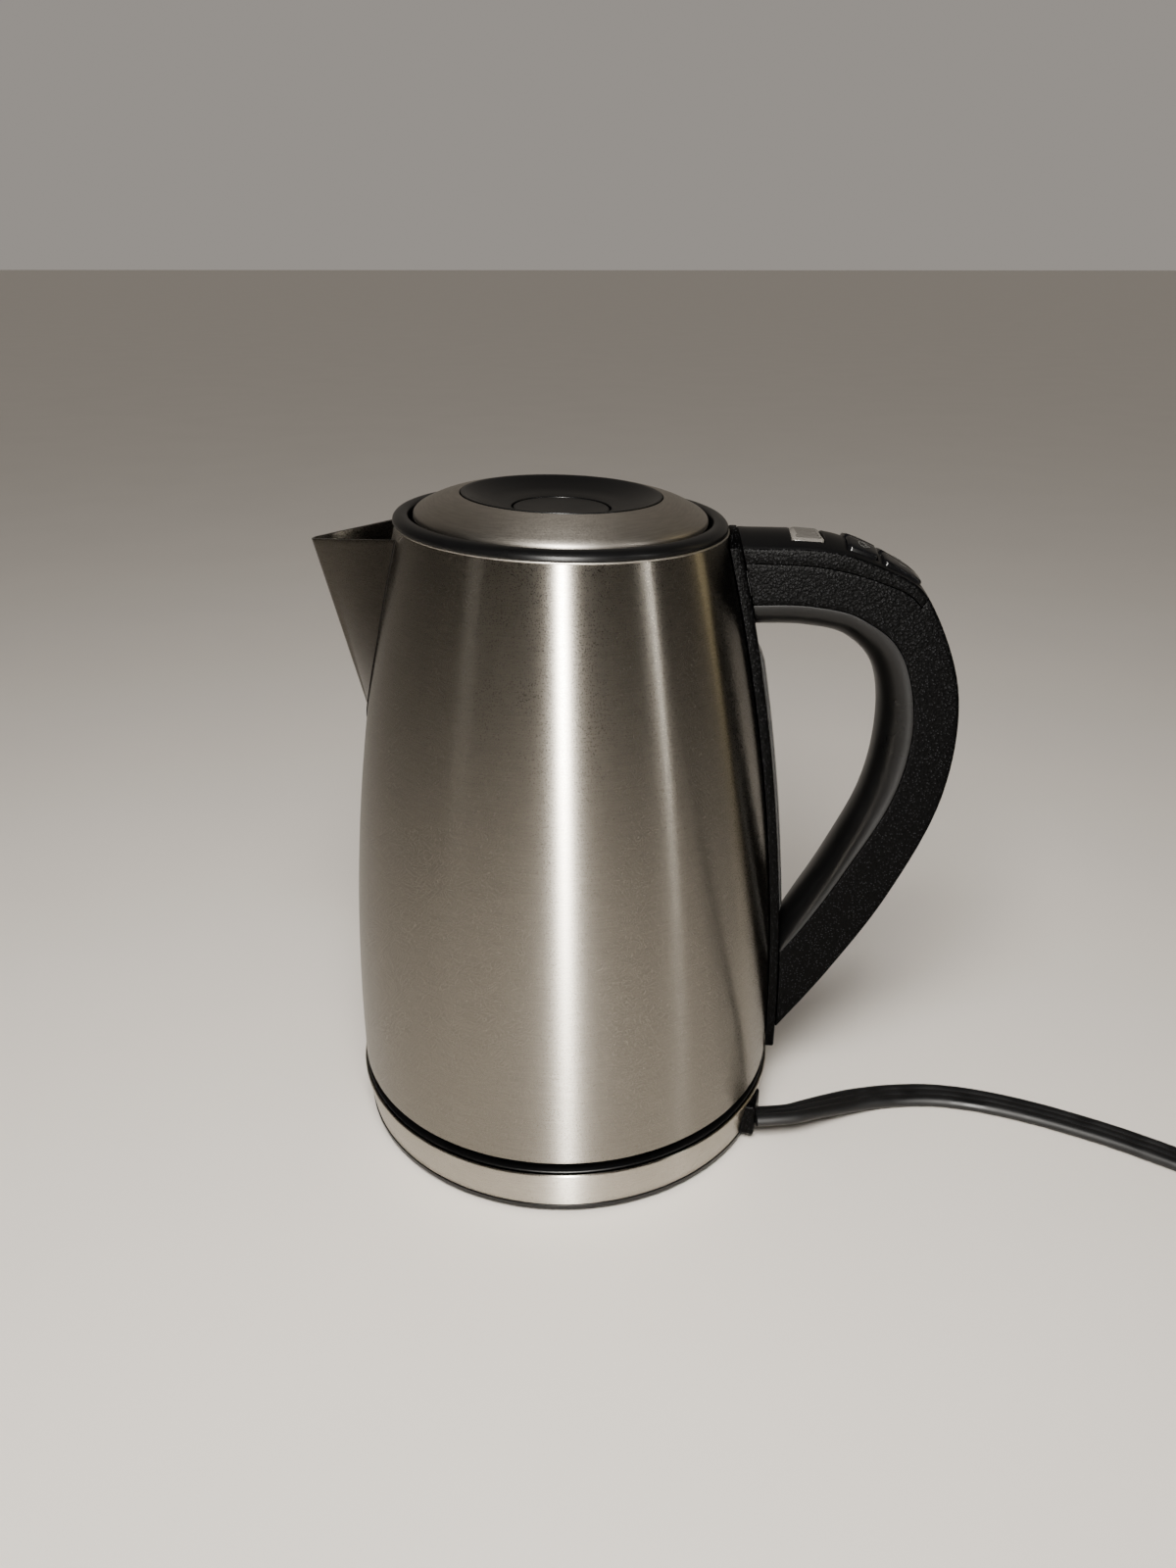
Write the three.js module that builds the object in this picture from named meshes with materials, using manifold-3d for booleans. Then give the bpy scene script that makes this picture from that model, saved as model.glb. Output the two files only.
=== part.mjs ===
// Cordless electric jug kettle on its 360 degree power base.
// Millimetres, +Z up. The origin is the centre of the base on the surface it stands on.
// The handle points along +X and the pouring lip along -X.
import * as THREE from 'three';
import { mergeVertices } from 'three/addons/utils/BufferGeometryUtils.js';
import Module from 'manifold-3d';

const wasm = await Module();
wasm.setup();

// ---- Driving dimensions ------------------------------------------------------------------
const GAP = 0.3; // clearance between neighbouring pieces
const ROUND = 48; // segments of a full turn

const JUG_FOOT_Z = 22; // lower edge of the steel jug
const JUG_FOOT_R = 77;
const JUG_RIM_Z = 219; // height of the rim on the jug's axis
const JUG_RIM_R = 52.6;
const JUG_SHOULDER = 2.1; // how late the wall turns in towards the rim
const JUG_WALL = 1;

const RIM_TILT = THREE.MathUtils.degToRad(1.8); // the rim, collar and lid fall towards the handle
const RIM_PLANE_Z = 218.9;

const HANDLE_HALF = 12; // half the handle's width
const HANDLE_WALL = 2.2;
const BRACKET_DEPTH = 2.8; // bracket strip outside the jug wall
const COVER_DEPTH = 8.6; // depth of the top cover's sides below its crown

const FLOOR_Z = 1; // underside of the base, between its feet
const BAND_TOP_Z = 17.7;
const CORD_WIDTH = 10.4; // flat three-core cord
const CORD_THICK = 4.4;

// ---- Materials ---------------------------------------------------------------------------
const finish = (color, roughness, metalness) =>
  new THREE.MeshStandardMaterial({ color, roughness, metalness });

const steel = finish(0xb9b5ab, 0.32, 1);
const darkSteel = finish(0x8c8a86, 0.4, 1);
const satinBlack = finish(0x141416, 0.42, 0);
const texturedBlack = finish(0x0d0d0f, 0.6, 0);
const glossBlack = finish(0x0a0a0c, 0.15, 0);
const rubberBlack = finish(0x101010, 0.85, 0);
const siliconeGrey = finish(0x9a9a98, 0.7, 0);
const boardGreen = finish(0x1d5a35, 0.55, 0);
const windowSmoke = finish(0x6a6c6e, 0.12, 0);
const displaySilver = finish(0xa9a69e, 0.25, 0.2);
const brass = finish(0xb08d4a, 0.35, 1);

// ---- Geometry helpers --------------------------------------------------------------------
const point = (x, z) => new THREE.Vector2(x, z);

// Bare positions with shared corners, and all faces pointing out.
function closed(geometry) {
  const bare = new THREE.BufferGeometry();
  bare.setAttribute('position', geometry.getAttribute('position').clone());
  if (geometry.index) bare.setIndex(geometry.index.clone());
  const merged = mergeVertices(bare, 1e-4);
  const p = merged.getAttribute('position');
  const kept = [];
  let volume = 0;
  const [a, b, c] = [new THREE.Vector3(), new THREE.Vector3(), new THREE.Vector3()];
  for (let i = 0; i < merged.index.count; i += 3) {
    const [i0, i1, i2] = [0, 1, 2].map((k) => merged.index.getX(i + k));
    if (i0 === i1 || i1 === i2 || i2 === i0) continue;
    kept.push(i0, i1, i2);
    a.fromBufferAttribute(p, i0);
    b.fromBufferAttribute(p, i1);
    c.fromBufferAttribute(p, i2);
    volume += a.dot(b.cross(c));
  }
  merged.setIndex(volume < 0 ? kept.reverse() : kept);
  return merged;
}

function toSolid(geometry) {
  const ready = closed(geometry);
  return new wasm.Manifold(new wasm.Mesh({
    numProp: 3,
    vertProperties: new Float32Array(ready.getAttribute('position').array),
    triVerts: new Uint32Array(ready.index.array),
  }));
}

function fromSolid(solid) {
  const mesh = solid.getMesh();
  const geometry = new THREE.BufferGeometry();
  geometry.setAttribute('position', new THREE.BufferAttribute(mesh.vertProperties, 3));
  geometry.setIndex(new THREE.BufferAttribute(mesh.triVerts, 1));
  return geometry;
}

const cut = (geometry, ...tools) =>
  fromSolid(tools.reduce((s, tool) => s.subtract(toSolid(tool)), toSolid(geometry)));
const join = (geometry, ...others) =>
  fromSolid(others.reduce((s, other) => s.add(toSolid(other)), toSolid(geometry)));
const overlap = (geometry, ...others) =>
  fromSolid(others.reduce((s, other) => s.intersect(toSolid(other)), toSolid(geometry)));

// Turned about the Z axis from [radius, height] pairs; ringed closes the outline on itself.
function turned(outline, segments = ROUND, ringed = true) {
  const points = outline.map(([r, z]) => point(r, z));
  if (ringed) points.push(points[0].clone());
  return closed(new THREE.LatheGeometry(points, segments).rotateX(Math.PI / 2));
}
const turnedSolid = (outline, segments = ROUND) => turned(outline, segments, false);

const cylinder = (r, z0, z1, x = 0, y = 0, segments = 20) =>
  turnedSolid([[0, z0], [r, z0], [r, z1], [0, z1]], segments).translate(x, y, 0);

const onCircle = (radius, degrees) => {
  const a = THREE.MathUtils.degToRad(degrees);
  return [radius * Math.cos(a), radius * Math.sin(a)];
};

function block([x0, y0, z0], [x1, y1, z1]) {
  return new THREE.BoxGeometry(x1 - x0, y1 - y0, z1 - z0)
    .translate((x0 + x1) / 2, (y0 + y1) / 2, (z0 + z1) / 2);
}

// A plate drawn as [x, z] corners and given a thickness from y0 to y1.
function sidePlate(outline, y0, y1) {
  const shape = new THREE.Shape(outline.map(([x, z]) => point(x, z)));
  return closed(new THREE.ExtrudeGeometry(shape, { depth: y1 - y0, bevelEnabled: false })
    .rotateX(Math.PI / 2).translate(0, y1, 0));
}

// Skins equal closed rings of points, one after another, with a fan over each end.
function loft(rings) {
  const count = rings[0].length;
  const positions = rings.flat().flatMap((v) => [v.x, v.y, v.z]);
  const index = [];
  for (let i = 0; i + 1 < rings.length; i += 1) {
    for (let j = 0; j < count; j += 1) {
      const a = i * count + j;
      const b = i * count + ((j + 1) % count);
      index.push(a, b, b + count, a, b + count, a + count);
    }
  }
  const last = (rings.length - 1) * count;
  for (let j = 1; j + 1 < count; j += 1) {
    index.push(0, j + 1, j, last, last + j, last + j + 1);
  }
  const geometry = new THREE.BufferGeometry();
  geometry.setAttribute('position', new THREE.Float32BufferAttribute(positions, 3));
  geometry.setIndex(index);
  return closed(geometry);
}

const kettle = new THREE.Group();
const tiltedTop = new THREE.Group(); // the rim plane: heights in it count from the rim
tiltedTop.position.z = RIM_PLANE_Z;
tiltedTop.rotation.y = RIM_TILT;
kettle.add(tiltedTop);

function piece(name, geometry, material, parent = kettle) {
  const mesh = new THREE.Mesh(geometry, material);
  mesh.name = name;
  parent.add(mesh);
  return mesh;
}

// ---- The jug's outer wall ----------------------------------------------------------------
function jugRadius(z) {
  const t = Math.max(0, (z - JUG_FOOT_Z) / (JUG_RIM_Z - JUG_FOOT_Z));
  return JUG_FOOT_R - (JUG_FOOT_R - JUG_RIM_R) * t ** JUG_SHOULDER;
}

// Outline of the wall from z0 to z1, moved out by offset.
function wallLine(z0, z1, steps, offset) {
  return Array.from({ length: steps + 1 }, (_, i) => {
    const z = z0 + ((z1 - z0) * i) / steps;
    return [jugRadius(z) + offset, z];
  });
}

const jugBlank = (offset) =>
  turnedSolid([[0, 15], ...wallLine(15, 226, 14, offset), [0, 226]]);

// Everything above the slanted rim plane, from the given height in the rim's frame.
function aboveRim(height) {
  return block([-90, -90, height], [90, 90, height + 40])
    .rotateY(RIM_TILT).translate(0, 0, RIM_PLANE_Z);
}

// ---- Pouring lip -------------------------------------------------------------------------
const LIP_FOOT_Z = 150; // where the keel leaves the wall
const LIP_TIP_Z = 211.7;
const LIP_TIP_X = -81.3;
const LIP_HALF = 20; // half the width where it meets the wall
const LIP_FULL_Z = 192; // width is constant above this height
const LIP_RIM_SLOPE = 0.13; // its rim rises towards the jug

// Horizontal sections of a wedge whose nose follows the straight keel.
function lipWedge(inset, z0, z1) {
  const footX = -jugRadius(LIP_FOOT_Z) + 0.4;
  const rings = [];
  const steps = 10;
  for (let i = 0; i <= steps; i += 1) {
    const z = z0 + ((z1 - z0) * i) / steps;
    const t = (z - LIP_FOOT_Z) / (LIP_TIP_Z - LIP_FOOT_Z);
    const noseX = footX + (LIP_TIP_X - footX) * t + inset;
    const low = Math.min(1, Math.max(0, (LIP_FULL_Z - z) / (LIP_FULL_Z - LIP_FOOT_Z)));
    const half = Math.max(0.6, LIP_HALF * Math.sqrt(1 - low ** 2) - inset);
    const wallX = -Math.sqrt(jugRadius(z) ** 2 - half ** 2);
    const noseR = Math.min(3, half * 0.5);
    const flank = Math.atan2(half, Math.max(0.5, wallX - noseX));
    const arc = [];
    for (let k = -2; k <= 2; k += 1) {
      const a = (k / 2) * (Math.PI / 2 - flank * 0.5);
      arc.push(new THREE.Vector3(noseX + noseR * (1 - Math.cos(a)), noseR * Math.sin(a), z));
    }
    rings.push([
      new THREE.Vector3(-40, -half, z),
      new THREE.Vector3(wallX, -half, z),
      ...arc,
      new THREE.Vector3(wallX, half, z),
      new THREE.Vector3(-40, half, z),
    ]);
  }
  return loft(rings);
}

function addLip() {
  const openTop = block([-60, -60, 0], [60, 60, 40])
    .rotateY(-Math.atan(LIP_RIM_SLOPE)).translate(LIP_TIP_X, 0, LIP_TIP_Z);
  const outside = lipWedge(0, LIP_FOOT_Z - 3, 224);
  const inside = lipWedge(1.2, LIP_FOOT_Z + 4, 226);
  piece('pouring_lip', cut(outside, inside, jugBlank(GAP), openTop), steel);
}

// ---- Jug ---------------------------------------------------------------------------------
const PLATE_Z = 37.5; // underside of the heated plate
const SENSOR_X = 22;

function addJug() {
  const wall = turned([
    [JUG_FOOT_R - 1.8, JUG_FOOT_Z],
    ...wallLine(JUG_FOOT_Z, 222, 10, 0),
    ...wallLine(222, JUG_FOOT_Z + JUG_WALL, 7, -JUG_WALL),
    [JUG_FOOT_R - 1.8, JUG_FOOT_Z + JUG_WALL],
  ]);
  const pouringHole = block([-80, -13, 172], [-40, 13, 204]);
  piece('jug_shell', cut(wall, aboveRim(-1.4), pouringHole), steel);

  // Screen behind the pouring hole: a framed plate with upright slots.
  const slots = [-3, -2, -1, 0, 1, 2, 3].map((i) =>
    block([-3, i * 4.4 - 1.5, -14.5], [3, i * 4.4 + 1.5, 14.5]));
  const lean = Math.atan2(jugRadius(170) - jugRadius(206), 36);
  const screen = cut(block([-0.7, -17, -17], [0.7, 17, 17]), ...slots)
    .rotateY(lean).translate(-jugRadius(186) + 5, 0, 186);
  piece('spout_filter', screen, darkSteel);

  piece('element_plate', cut(
    cylinder(jugRadius(PLATE_Z + 1.5) - JUG_WALL - GAP, PLATE_Z, PLATE_Z + 1.5, 0, 0, ROUND),
    cylinder(3.4, PLATE_Z - 1, PLATE_Z + 3, SENSOR_X, 0),
  ), steel);
  piece('heating_element', turned([
    [37, PLATE_Z - 6], [45, PLATE_Z - 6], [46, PLATE_Z - 3], [45, PLATE_Z - GAP],
    [37, PLATE_Z - GAP], [36, PLATE_Z - 3],
  ], 36), darkSteel);
  piece('temperature_sensor', turnedSolid([
    [0, PLATE_Z - 5], [5, PLATE_Z - 5], [5, PLATE_Z - GAP], [3, PLATE_Z - GAP],
    [3, PLATE_Z + 5], [1.8, PLATE_Z + 7], [0, PLATE_Z + 7.4],
  ], 16).translate(SENSOR_X, 0, 0), steel);

  piece('jug_floor_cover', turned([
    [17, 19.1], [73.6, 19.1], [74.8, 20.2], [74.8, 28], [73.2, 28], [73.2, 20.8], [17, 20.8],
  ]), satinBlack);

  // Collar: the black ring between the rim and the lid, with a guide wall inside the jug.
  piece('collar', turned([
    [53.3, -1], [53.2, 0], [52.4, 1.2], [50.6, 1.9], [48.7, 1.6], [48.2, 0.8],
    [48.2, -14], [49.8, -14], [49.8, -1],
  ]), satinBlack, tiltedTop);
}

// ---- Handle ------------------------------------------------------------------------------
// The handle's crown and its inner side in the plane of symmetry, from the top to the foot.
const crownLine = new THREE.SplineCurve([
  point(58.2, 216.4), point(84, 215.2), point(103.8, 207.5), point(118, 195.8),
  point(130.6, 165), point(129.8, 128), point(116, 90), point(97.6, 57), point(80.2, 31.2),
]);
const innerLine = new THREE.SplineCurve([
  point(64, 185.8), point(79, 185.6), point(93, 182.2), point(103.3, 171), point(106.4, 151),
  point(103.2, 126.5), point(93.2, 101.5), point(83, 81), point(78.5, 70.5),
]);
const HANDLE_STATIONS = 24;
const TOP_COVER_END = 0.36; // how far along the handle the top cover runs

// Crown and inner points of one station and the unit vector from the inner one to the crown.
// Past either end the station is moved straight on.
function station(u) {
  const t = Math.min(1, Math.max(0, u));
  const crown = crownLine.getPoint(t);
  const inner = innerLine.getPoint(t);
  if (u !== t) {
    crown.addScaledVector(crownLine.getTangent(t), (u - t) * 100);
    inner.addScaledVector(innerLine.getTangent(t), (u - t) * 100);
  }
  const out = crown.clone().sub(inner).normalize();
  return { crown, inner, out };
}

// The crown is arched at the top and almost flat down the back.
const crownArch = (u) => 4 - 3.3 * THREE.MathUtils.smoothstep(u, 0.04, 0.38);

// The smooth inner band is deepest at the bend.
const bandDepth = (u) => 8.6 + 2.8 * THREE.MathUtils.smoothstep(u, 0.25, 0.42)
  - 5 * THREE.MathUtils.smoothstep(u, 0.5, 0.78);

// One section: half an ellipse inside, flat sides, and a shallow arched crown.
function handleRing(u, inset) {
  const { crown, inner, out } = station(u);
  const half = HANDLE_HALF - inset;
  const arch = crownArch(u);
  const band = bandDepth(u) - inset * 0.5;
  const at = (base, along, y) =>
    new THREE.Vector3(base.x + out.x * along, y, base.y + out.y * along);
  const ring = [];
  for (let k = -4; k <= 4; k += 1) {
    const a = (k / 4) * (Math.PI / 2);
    ring.push(at(inner, inset + band * (1 - Math.cos(a)), half * Math.sin(a)));
  }
  for (let k = 3; k >= -3; k -= 1) {
    const s = k / 3;
    ring.push(at(crown, -inset - arch * s * s, half * s));
  }
  return ring;
}

function handleSolid(inset, u0 = 0, u1 = 1, stations = HANDLE_STATIONS) {
  const rings = [];
  for (let i = 0; i <= stations; i += 1) {
    rings.push(handleRing(u0 + ((u1 - u0) * i) / stations, inset));
  }
  return loft(rings);
}

// A wide slab that follows the handle: heights are counted from the crown, or from the inner
// line where there is a depth for it.
function followingSlab(low, high, u0, u1, stations, depth = null) {
  const rings = [];
  for (let i = 0; i <= stations; i += 1) {
    const u = u0 + ((u1 - u0) * i) / stations;
    const { crown, inner, out } = station(u);
    const base = depth ? inner : crown;
    const top = depth ? depth(u) + high : high;
    rings.push([[low, -20], [low, 20], [top, 20], [top, -20]].map(([along, y]) =>
      new THREE.Vector3(base.x + out.x * along, y, base.y + out.y * along)));
  }
  return loft(rings);
}

// Moves a piece drawn at the origin, +Z out of the crown and +X along it, to a station.
function ontoCrown(geometry, u) {
  const { crown } = station(u);
  const along = crownLine.getTangent(u);
  return geometry.rotateY(-Math.atan2(along.y, along.x)).translate(crown.x, 0, crown.y);
}

const GAUGE_LOW_Z = 76;
const GAUGE_HIGH_Z = 178;
const GAUGE_HALF = 6.5;

function bracketStrip(inner, outer, z0, z1, half, steps = 12) {
  const outside = wallLine(z0, z1, steps, outer);
  const inside = wallLine(z1, z0, steps, inner);
  return sidePlate([...outside, ...inside], -half, half);
}

const DISPLAY_AT = 0.0963;
const BUTTON_ROWS = [
  { name: 'front', at: 0.192, length: 10.6 },
  { name: 'rear', at: 0.285, length: 14.4 },
];
const BUTTON_SIDES = [{ name: 'left', side: -1 }, { name: 'right', side: 1 }];
const BUTTON_WIDTH = 8.4;
const BUTTON_RISE = 1.2;
const BUTTON_DEPTH = 3.2;

// Box for a button, grown by margin, on the crown.
function buttonBox(row, side, margin) {
  const y0 = side > 0 ? 0.5 - margin : -0.5 - BUTTON_WIDTH - margin;
  return ontoCrown(block(
    [-row.length / 2 - margin, y0, -BUTTON_DEPTH - 2 - margin],
    [row.length / 2 + margin, y0 + BUTTON_WIDTH + 2 * margin, 4 + margin],
  ), row.at);
}

function addHandle() {
  // Bracket strip against the jug wall, with two bosses that reach into the handle.
  const topBoss = block([57, -8, 196], [74, 8, 205]);
  const footBoss = block([76, -7, 47], [85.5, 7, 63]);
  const gaugeSlot = bracketStrip(-4, 8, GAUGE_LOW_Z - GAP, GAUGE_HIGH_Z + GAP, GAUGE_HALF + GAP);
  const topScrewHole = cylinder(1.8, 180, 204, 69.5, 0, 12);
  const capLine = cut(block([50.5, -20, 203], [59.5, 20, 232]), handleSolid(0, -0.13, 0.03, 4));
  const footScrew = (r, from, to) => cylinder(r, from, to, 0, 0, 12)
    .rotateY(-0.5).translate(90.2, 0, 43.4);
  piece('handle_bracket', cut(
    join(bracketStrip(-6, BRACKET_DEPTH, 22.7, 222, HANDLE_HALF), topBoss, footBoss),
    jugBlank(GAP), gaugeSlot, topScrewHole, footScrew(1.8, -4, 14), capLine,
    turned([[30, -20], [53.6, -20], [53.6, 20], [30, 20]]).rotateY(RIM_TILT)
      .translate(0, 0, RIM_PLANE_Z),
  ), texturedBlack);
  piece('gauge_window', cut(
    bracketStrip(-2, BRACKET_DEPTH + 1.8, GAUGE_LOW_Z, GAUGE_HIGH_Z, GAUGE_HALF),
    jugBlank(GAP),
  ), windowSmoke);

  // The hollow handle, parted into side shell, inner band and top cover.
  const hollow = handleSolid(HANDLE_WALL, -0.08, 1.08);
  const seat = bracketStrip(-20, BRACKET_DEPTH + GAP, 16, 228, 20);
  const skin = cut(handleSolid(0, -0.05, 1.05), hollow, seat);
  const coverZone = (grow) =>
    followingSlab(-COVER_DEPTH - grow, 8, -0.09, TOP_COVER_END + grow * 0.005, 10);
  const bandZone = (grow) => followingSlab(-8, grow, -0.09, 1.09, 26, bandDepth);
  const footHead = join(footScrew(3.3, -6, 2.6), footScrew(1.8, 2, 8));
  const topHead = cylinder(3.3, 178, 189.2, 69.5, 0, 16);
  piece('handle_shell', cut(skin, coverZone(GAP), bandZone(GAP), footHead), texturedBlack);
  piece('handle_inner_band', cut(overlap(skin, bandZone(0)), topHead), satinBlack);

  const lensBox = (margin) => ontoCrown(block(
    [-5.2 - margin, -8 - margin, -3.5 - margin], [5.2 + margin, 8 + margin, 3],
  ), DISPLAY_AT);
  const buttonHoles = BUTTON_ROWS.flatMap((row) =>
    BUTTON_SIDES.map(({ side }) => buttonBox(row, side, GAP)));
  piece('handle_top_cover',
    cut(overlap(skin, coverZone(0)), lensBox(GAP), ...buttonHoles), satinBlack);
  const lensZone = followingSlab(-3, 1, -0.05, 0.25, 6);
  piece('display_lens', overlap(handleSolid(-0.1, 0, 0.25, 8), lensBox(0), lensZone),
    displaySilver);

  // Buttons stand a little proud of the cover and follow its arch.
  const raised = handleSolid(-BUTTON_RISE, 0.1, 0.42, 12);
  const buttonZone = followingSlab(-BUTTON_DEPTH, 4, 0.08, 0.44, 12);
  for (const row of BUTTON_ROWS) {
    for (const { name, side } of BUTTON_SIDES) {
      piece(`button_${row.name}_${name}`,
        overlap(raised, buttonBox(row, side, 0), buttonZone), glossBlack);
    }
  }

  // Electronics in the hollow.
  piece('display_module', ontoCrown(block([-6, -8, -9.6], [6, 8, -5.4]), DISPLAY_AT), glossBlack);
  piece('control_board', block([75.5, -8.5, 200.4], [92, 8.5, 202]), boardGreen);
  piece('button_board', ontoCrown(block([-11.5, -8.5, -9.2], [10.5, 8.5, -7.6]), 0.21),
    boardGreen);

  const screw = (headR, shankR, length) => turnedSolid([
    [0, 0], [headR, 0], [headR, 2], [shankR, 2.4], [shankR, length], [0, length],
  ], 16);
  piece('handle_screw_upper', screw(3, 1.5, 15).translate(69.5, 0, 186.6), darkSteel);
  piece('handle_screw_lower', screw(3, 1.5, 13).rotateY(-0.5).translate(90.2, 0, 43.4),
    darkSteel);
}

// ---- Lid ---------------------------------------------------------------------------------
const LID_R = 46.8;
const DISH_R = 31.9;
const BUTTON_R = 15.4;

function helix(radius, wire, z0, z1, turns) {
  class Coil extends THREE.Curve {
    getPoint(t, target = new THREE.Vector3()) {
      const a = t * turns * 2 * Math.PI;
      return target.set(radius * Math.cos(a), radius * Math.sin(a), z0 + (z1 - z0) * t);
    }
  }
  const section = new THREE.Shape(Array.from({ length: 6 }, (_, i) =>
    point(wire * Math.cos(i * Math.PI / 3), wire * Math.sin(i * Math.PI / 3))));
  return closed(new THREE.ExtrudeGeometry(section, {
    steps: turns * 12, extrudePath: new Coil(), bevelEnabled: false,
  }));
}

function addLid() {
  piece('lid_dome', turned([
    [46.2, 0.3], [LID_R, 0.5], [LID_R, 2.1], [45.6, 3.2], [41, 5.6], [36.5, 7.1], [32.3, 7.9],
    [32.2, 7], [36, 6.2], [40.6, 4.7], [44.9, 2.5], [46.1, 1.6],
  ]), steel, tiltedTop);
  const screwSpots = [0, 120, 240].map((a) => onCircle(26, a));
  const dish = turned([
    [DISH_R, 8.2], [30.6, 8.1], [27, 6.4], [22, 4.6], [15.9, 3.7], [15.9, 0.8], [17.5, 0.8],
    [17.5, 2.2], [22, 3], [27, 4.8], [31.2, 6.6], [DISH_R, 7.4],
  ]);
  const posts = screwSpots.map(([x, y]) => cylinder(3.4, -10.9, 4, x, y, 16));
  const bores = screwSpots.map(([x, y]) => cylinder(1.8, -12, -2.5, x, y, 12));
  piece('lid_dish', cut(join(dish, ...posts), ...bores), satinBlack, tiltedTop);
  piece('lid_button', turnedSolid([
    [0, -7.5], [3.9, -7.5], [3.9, 2.2], [14.6, 2.2], [BUTTON_R, 2.5], [BUTTON_R, 3.2],
    [15, 3.6], [8, 3.4], [0, 3.3],
  ], 32), satinBlack, tiltedTop);
  piece('lid_spring', helix(6.2, 0.6, -4, 1.2, 4), darkSteel, tiltedTop);

  const tray = turned([
    [44.4, -13], [45.4, -12], [45.4, 0], [43.6, 0], [43.6, -11.4], [8, -11.4],
    [8, -5], [4.8, -5], [4.8, -11.4], [4.2, -12], [4.2, -13],
  ]);
  const latchSlots = block([-6.4, -50, -5.7], [6.4, 50, -1.3]);
  const slotCore = cylinder(40, -7, 1, 0, 0, ROUND);
  const latchCut = cut(latchSlots, slotCore);
  const slotHalves = [-1, 1].map((s) => overlap(latchCut,
    block([-10, s > 0 ? 0 : -60, -10], [10, s > 0 ? 60 : 0, 5])));
  piece('lid_tray', cut(tray, ...slotHalves,
    ...screwSpots.map(([x, y]) => cylinder(1.8, -15, -10, x, y, 12))), satinBlack, tiltedTop);
  piece('lid_seal', turned([
    [45.7, -10.6], [47.2, -10.6], [47.9, -9.4], [47.2, -8], [45.7, -8],
  ]), siliconeGrey, tiltedTop);
  screwSpots.forEach(([x, y], i) => {
    piece(`lid_screw_${i + 1}`, turnedSolid([
      [0, -15], [2.6, -15], [3, -14.4], [3, -13.3], [1.5, -13.3], [1.5, -4], [0, -4],
    ], 12).translate(x, y, 0), darkSteel, tiltedTop);
  });

  // Two sliding catches that press on the collar's guide wall.
  const catchBar = overlap(
    join(block([-6, 33, -5.3], [6, 52, -1.7]), block([-3, 11.4, -5.3], [3, 34, -1.7])),
    cylinder(47.9, -6, 0, 0, 0, 96),
  );
  piece('lid_catch_rear', catchBar, siliconeGrey, tiltedTop);
  piece('lid_catch_front', catchBar.clone().rotateZ(Math.PI), siliconeGrey, tiltedTop);
}

// ---- Power base --------------------------------------------------------------------------
const FOOT_CIRCLE = 60;
const SCREW_CIRCLE = 42;

// Cord outlet on the base: a block across the band.
const OUTLET = new THREE.Vector2(...onCircle(75, -25.8));
const OUTLET_HEADING = THREE.MathUtils.degToRad(-14);
const CORD_Z = 8;

function outletBlock(grow) {
  return block([-8 - grow, -5.8 - grow, 3.2 - grow], [4.7 + grow, 5.8 + grow, 15.8 + grow])
    .rotateZ(OUTLET_HEADING).translate(OUTLET.x, OUTLET.y, 0);
}

// Outline of the flat cord, x up and y across: a half circle at each edge.
function flatSection(width, thick) {
  const half = width / 2 - thick / 2;
  const steps = 3;
  const points = [];
  for (const [side, start] of [[1, -Math.PI / 2], [-1, Math.PI / 2]]) {
    for (let k = 0; k <= steps; k += 1) {
      const a = start + (k / steps) * Math.PI;
      points.push(point((thick / 2) * Math.sin(a), side * half + (thick / 2) * Math.cos(a)));
    }
  }
  return points;
}

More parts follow.
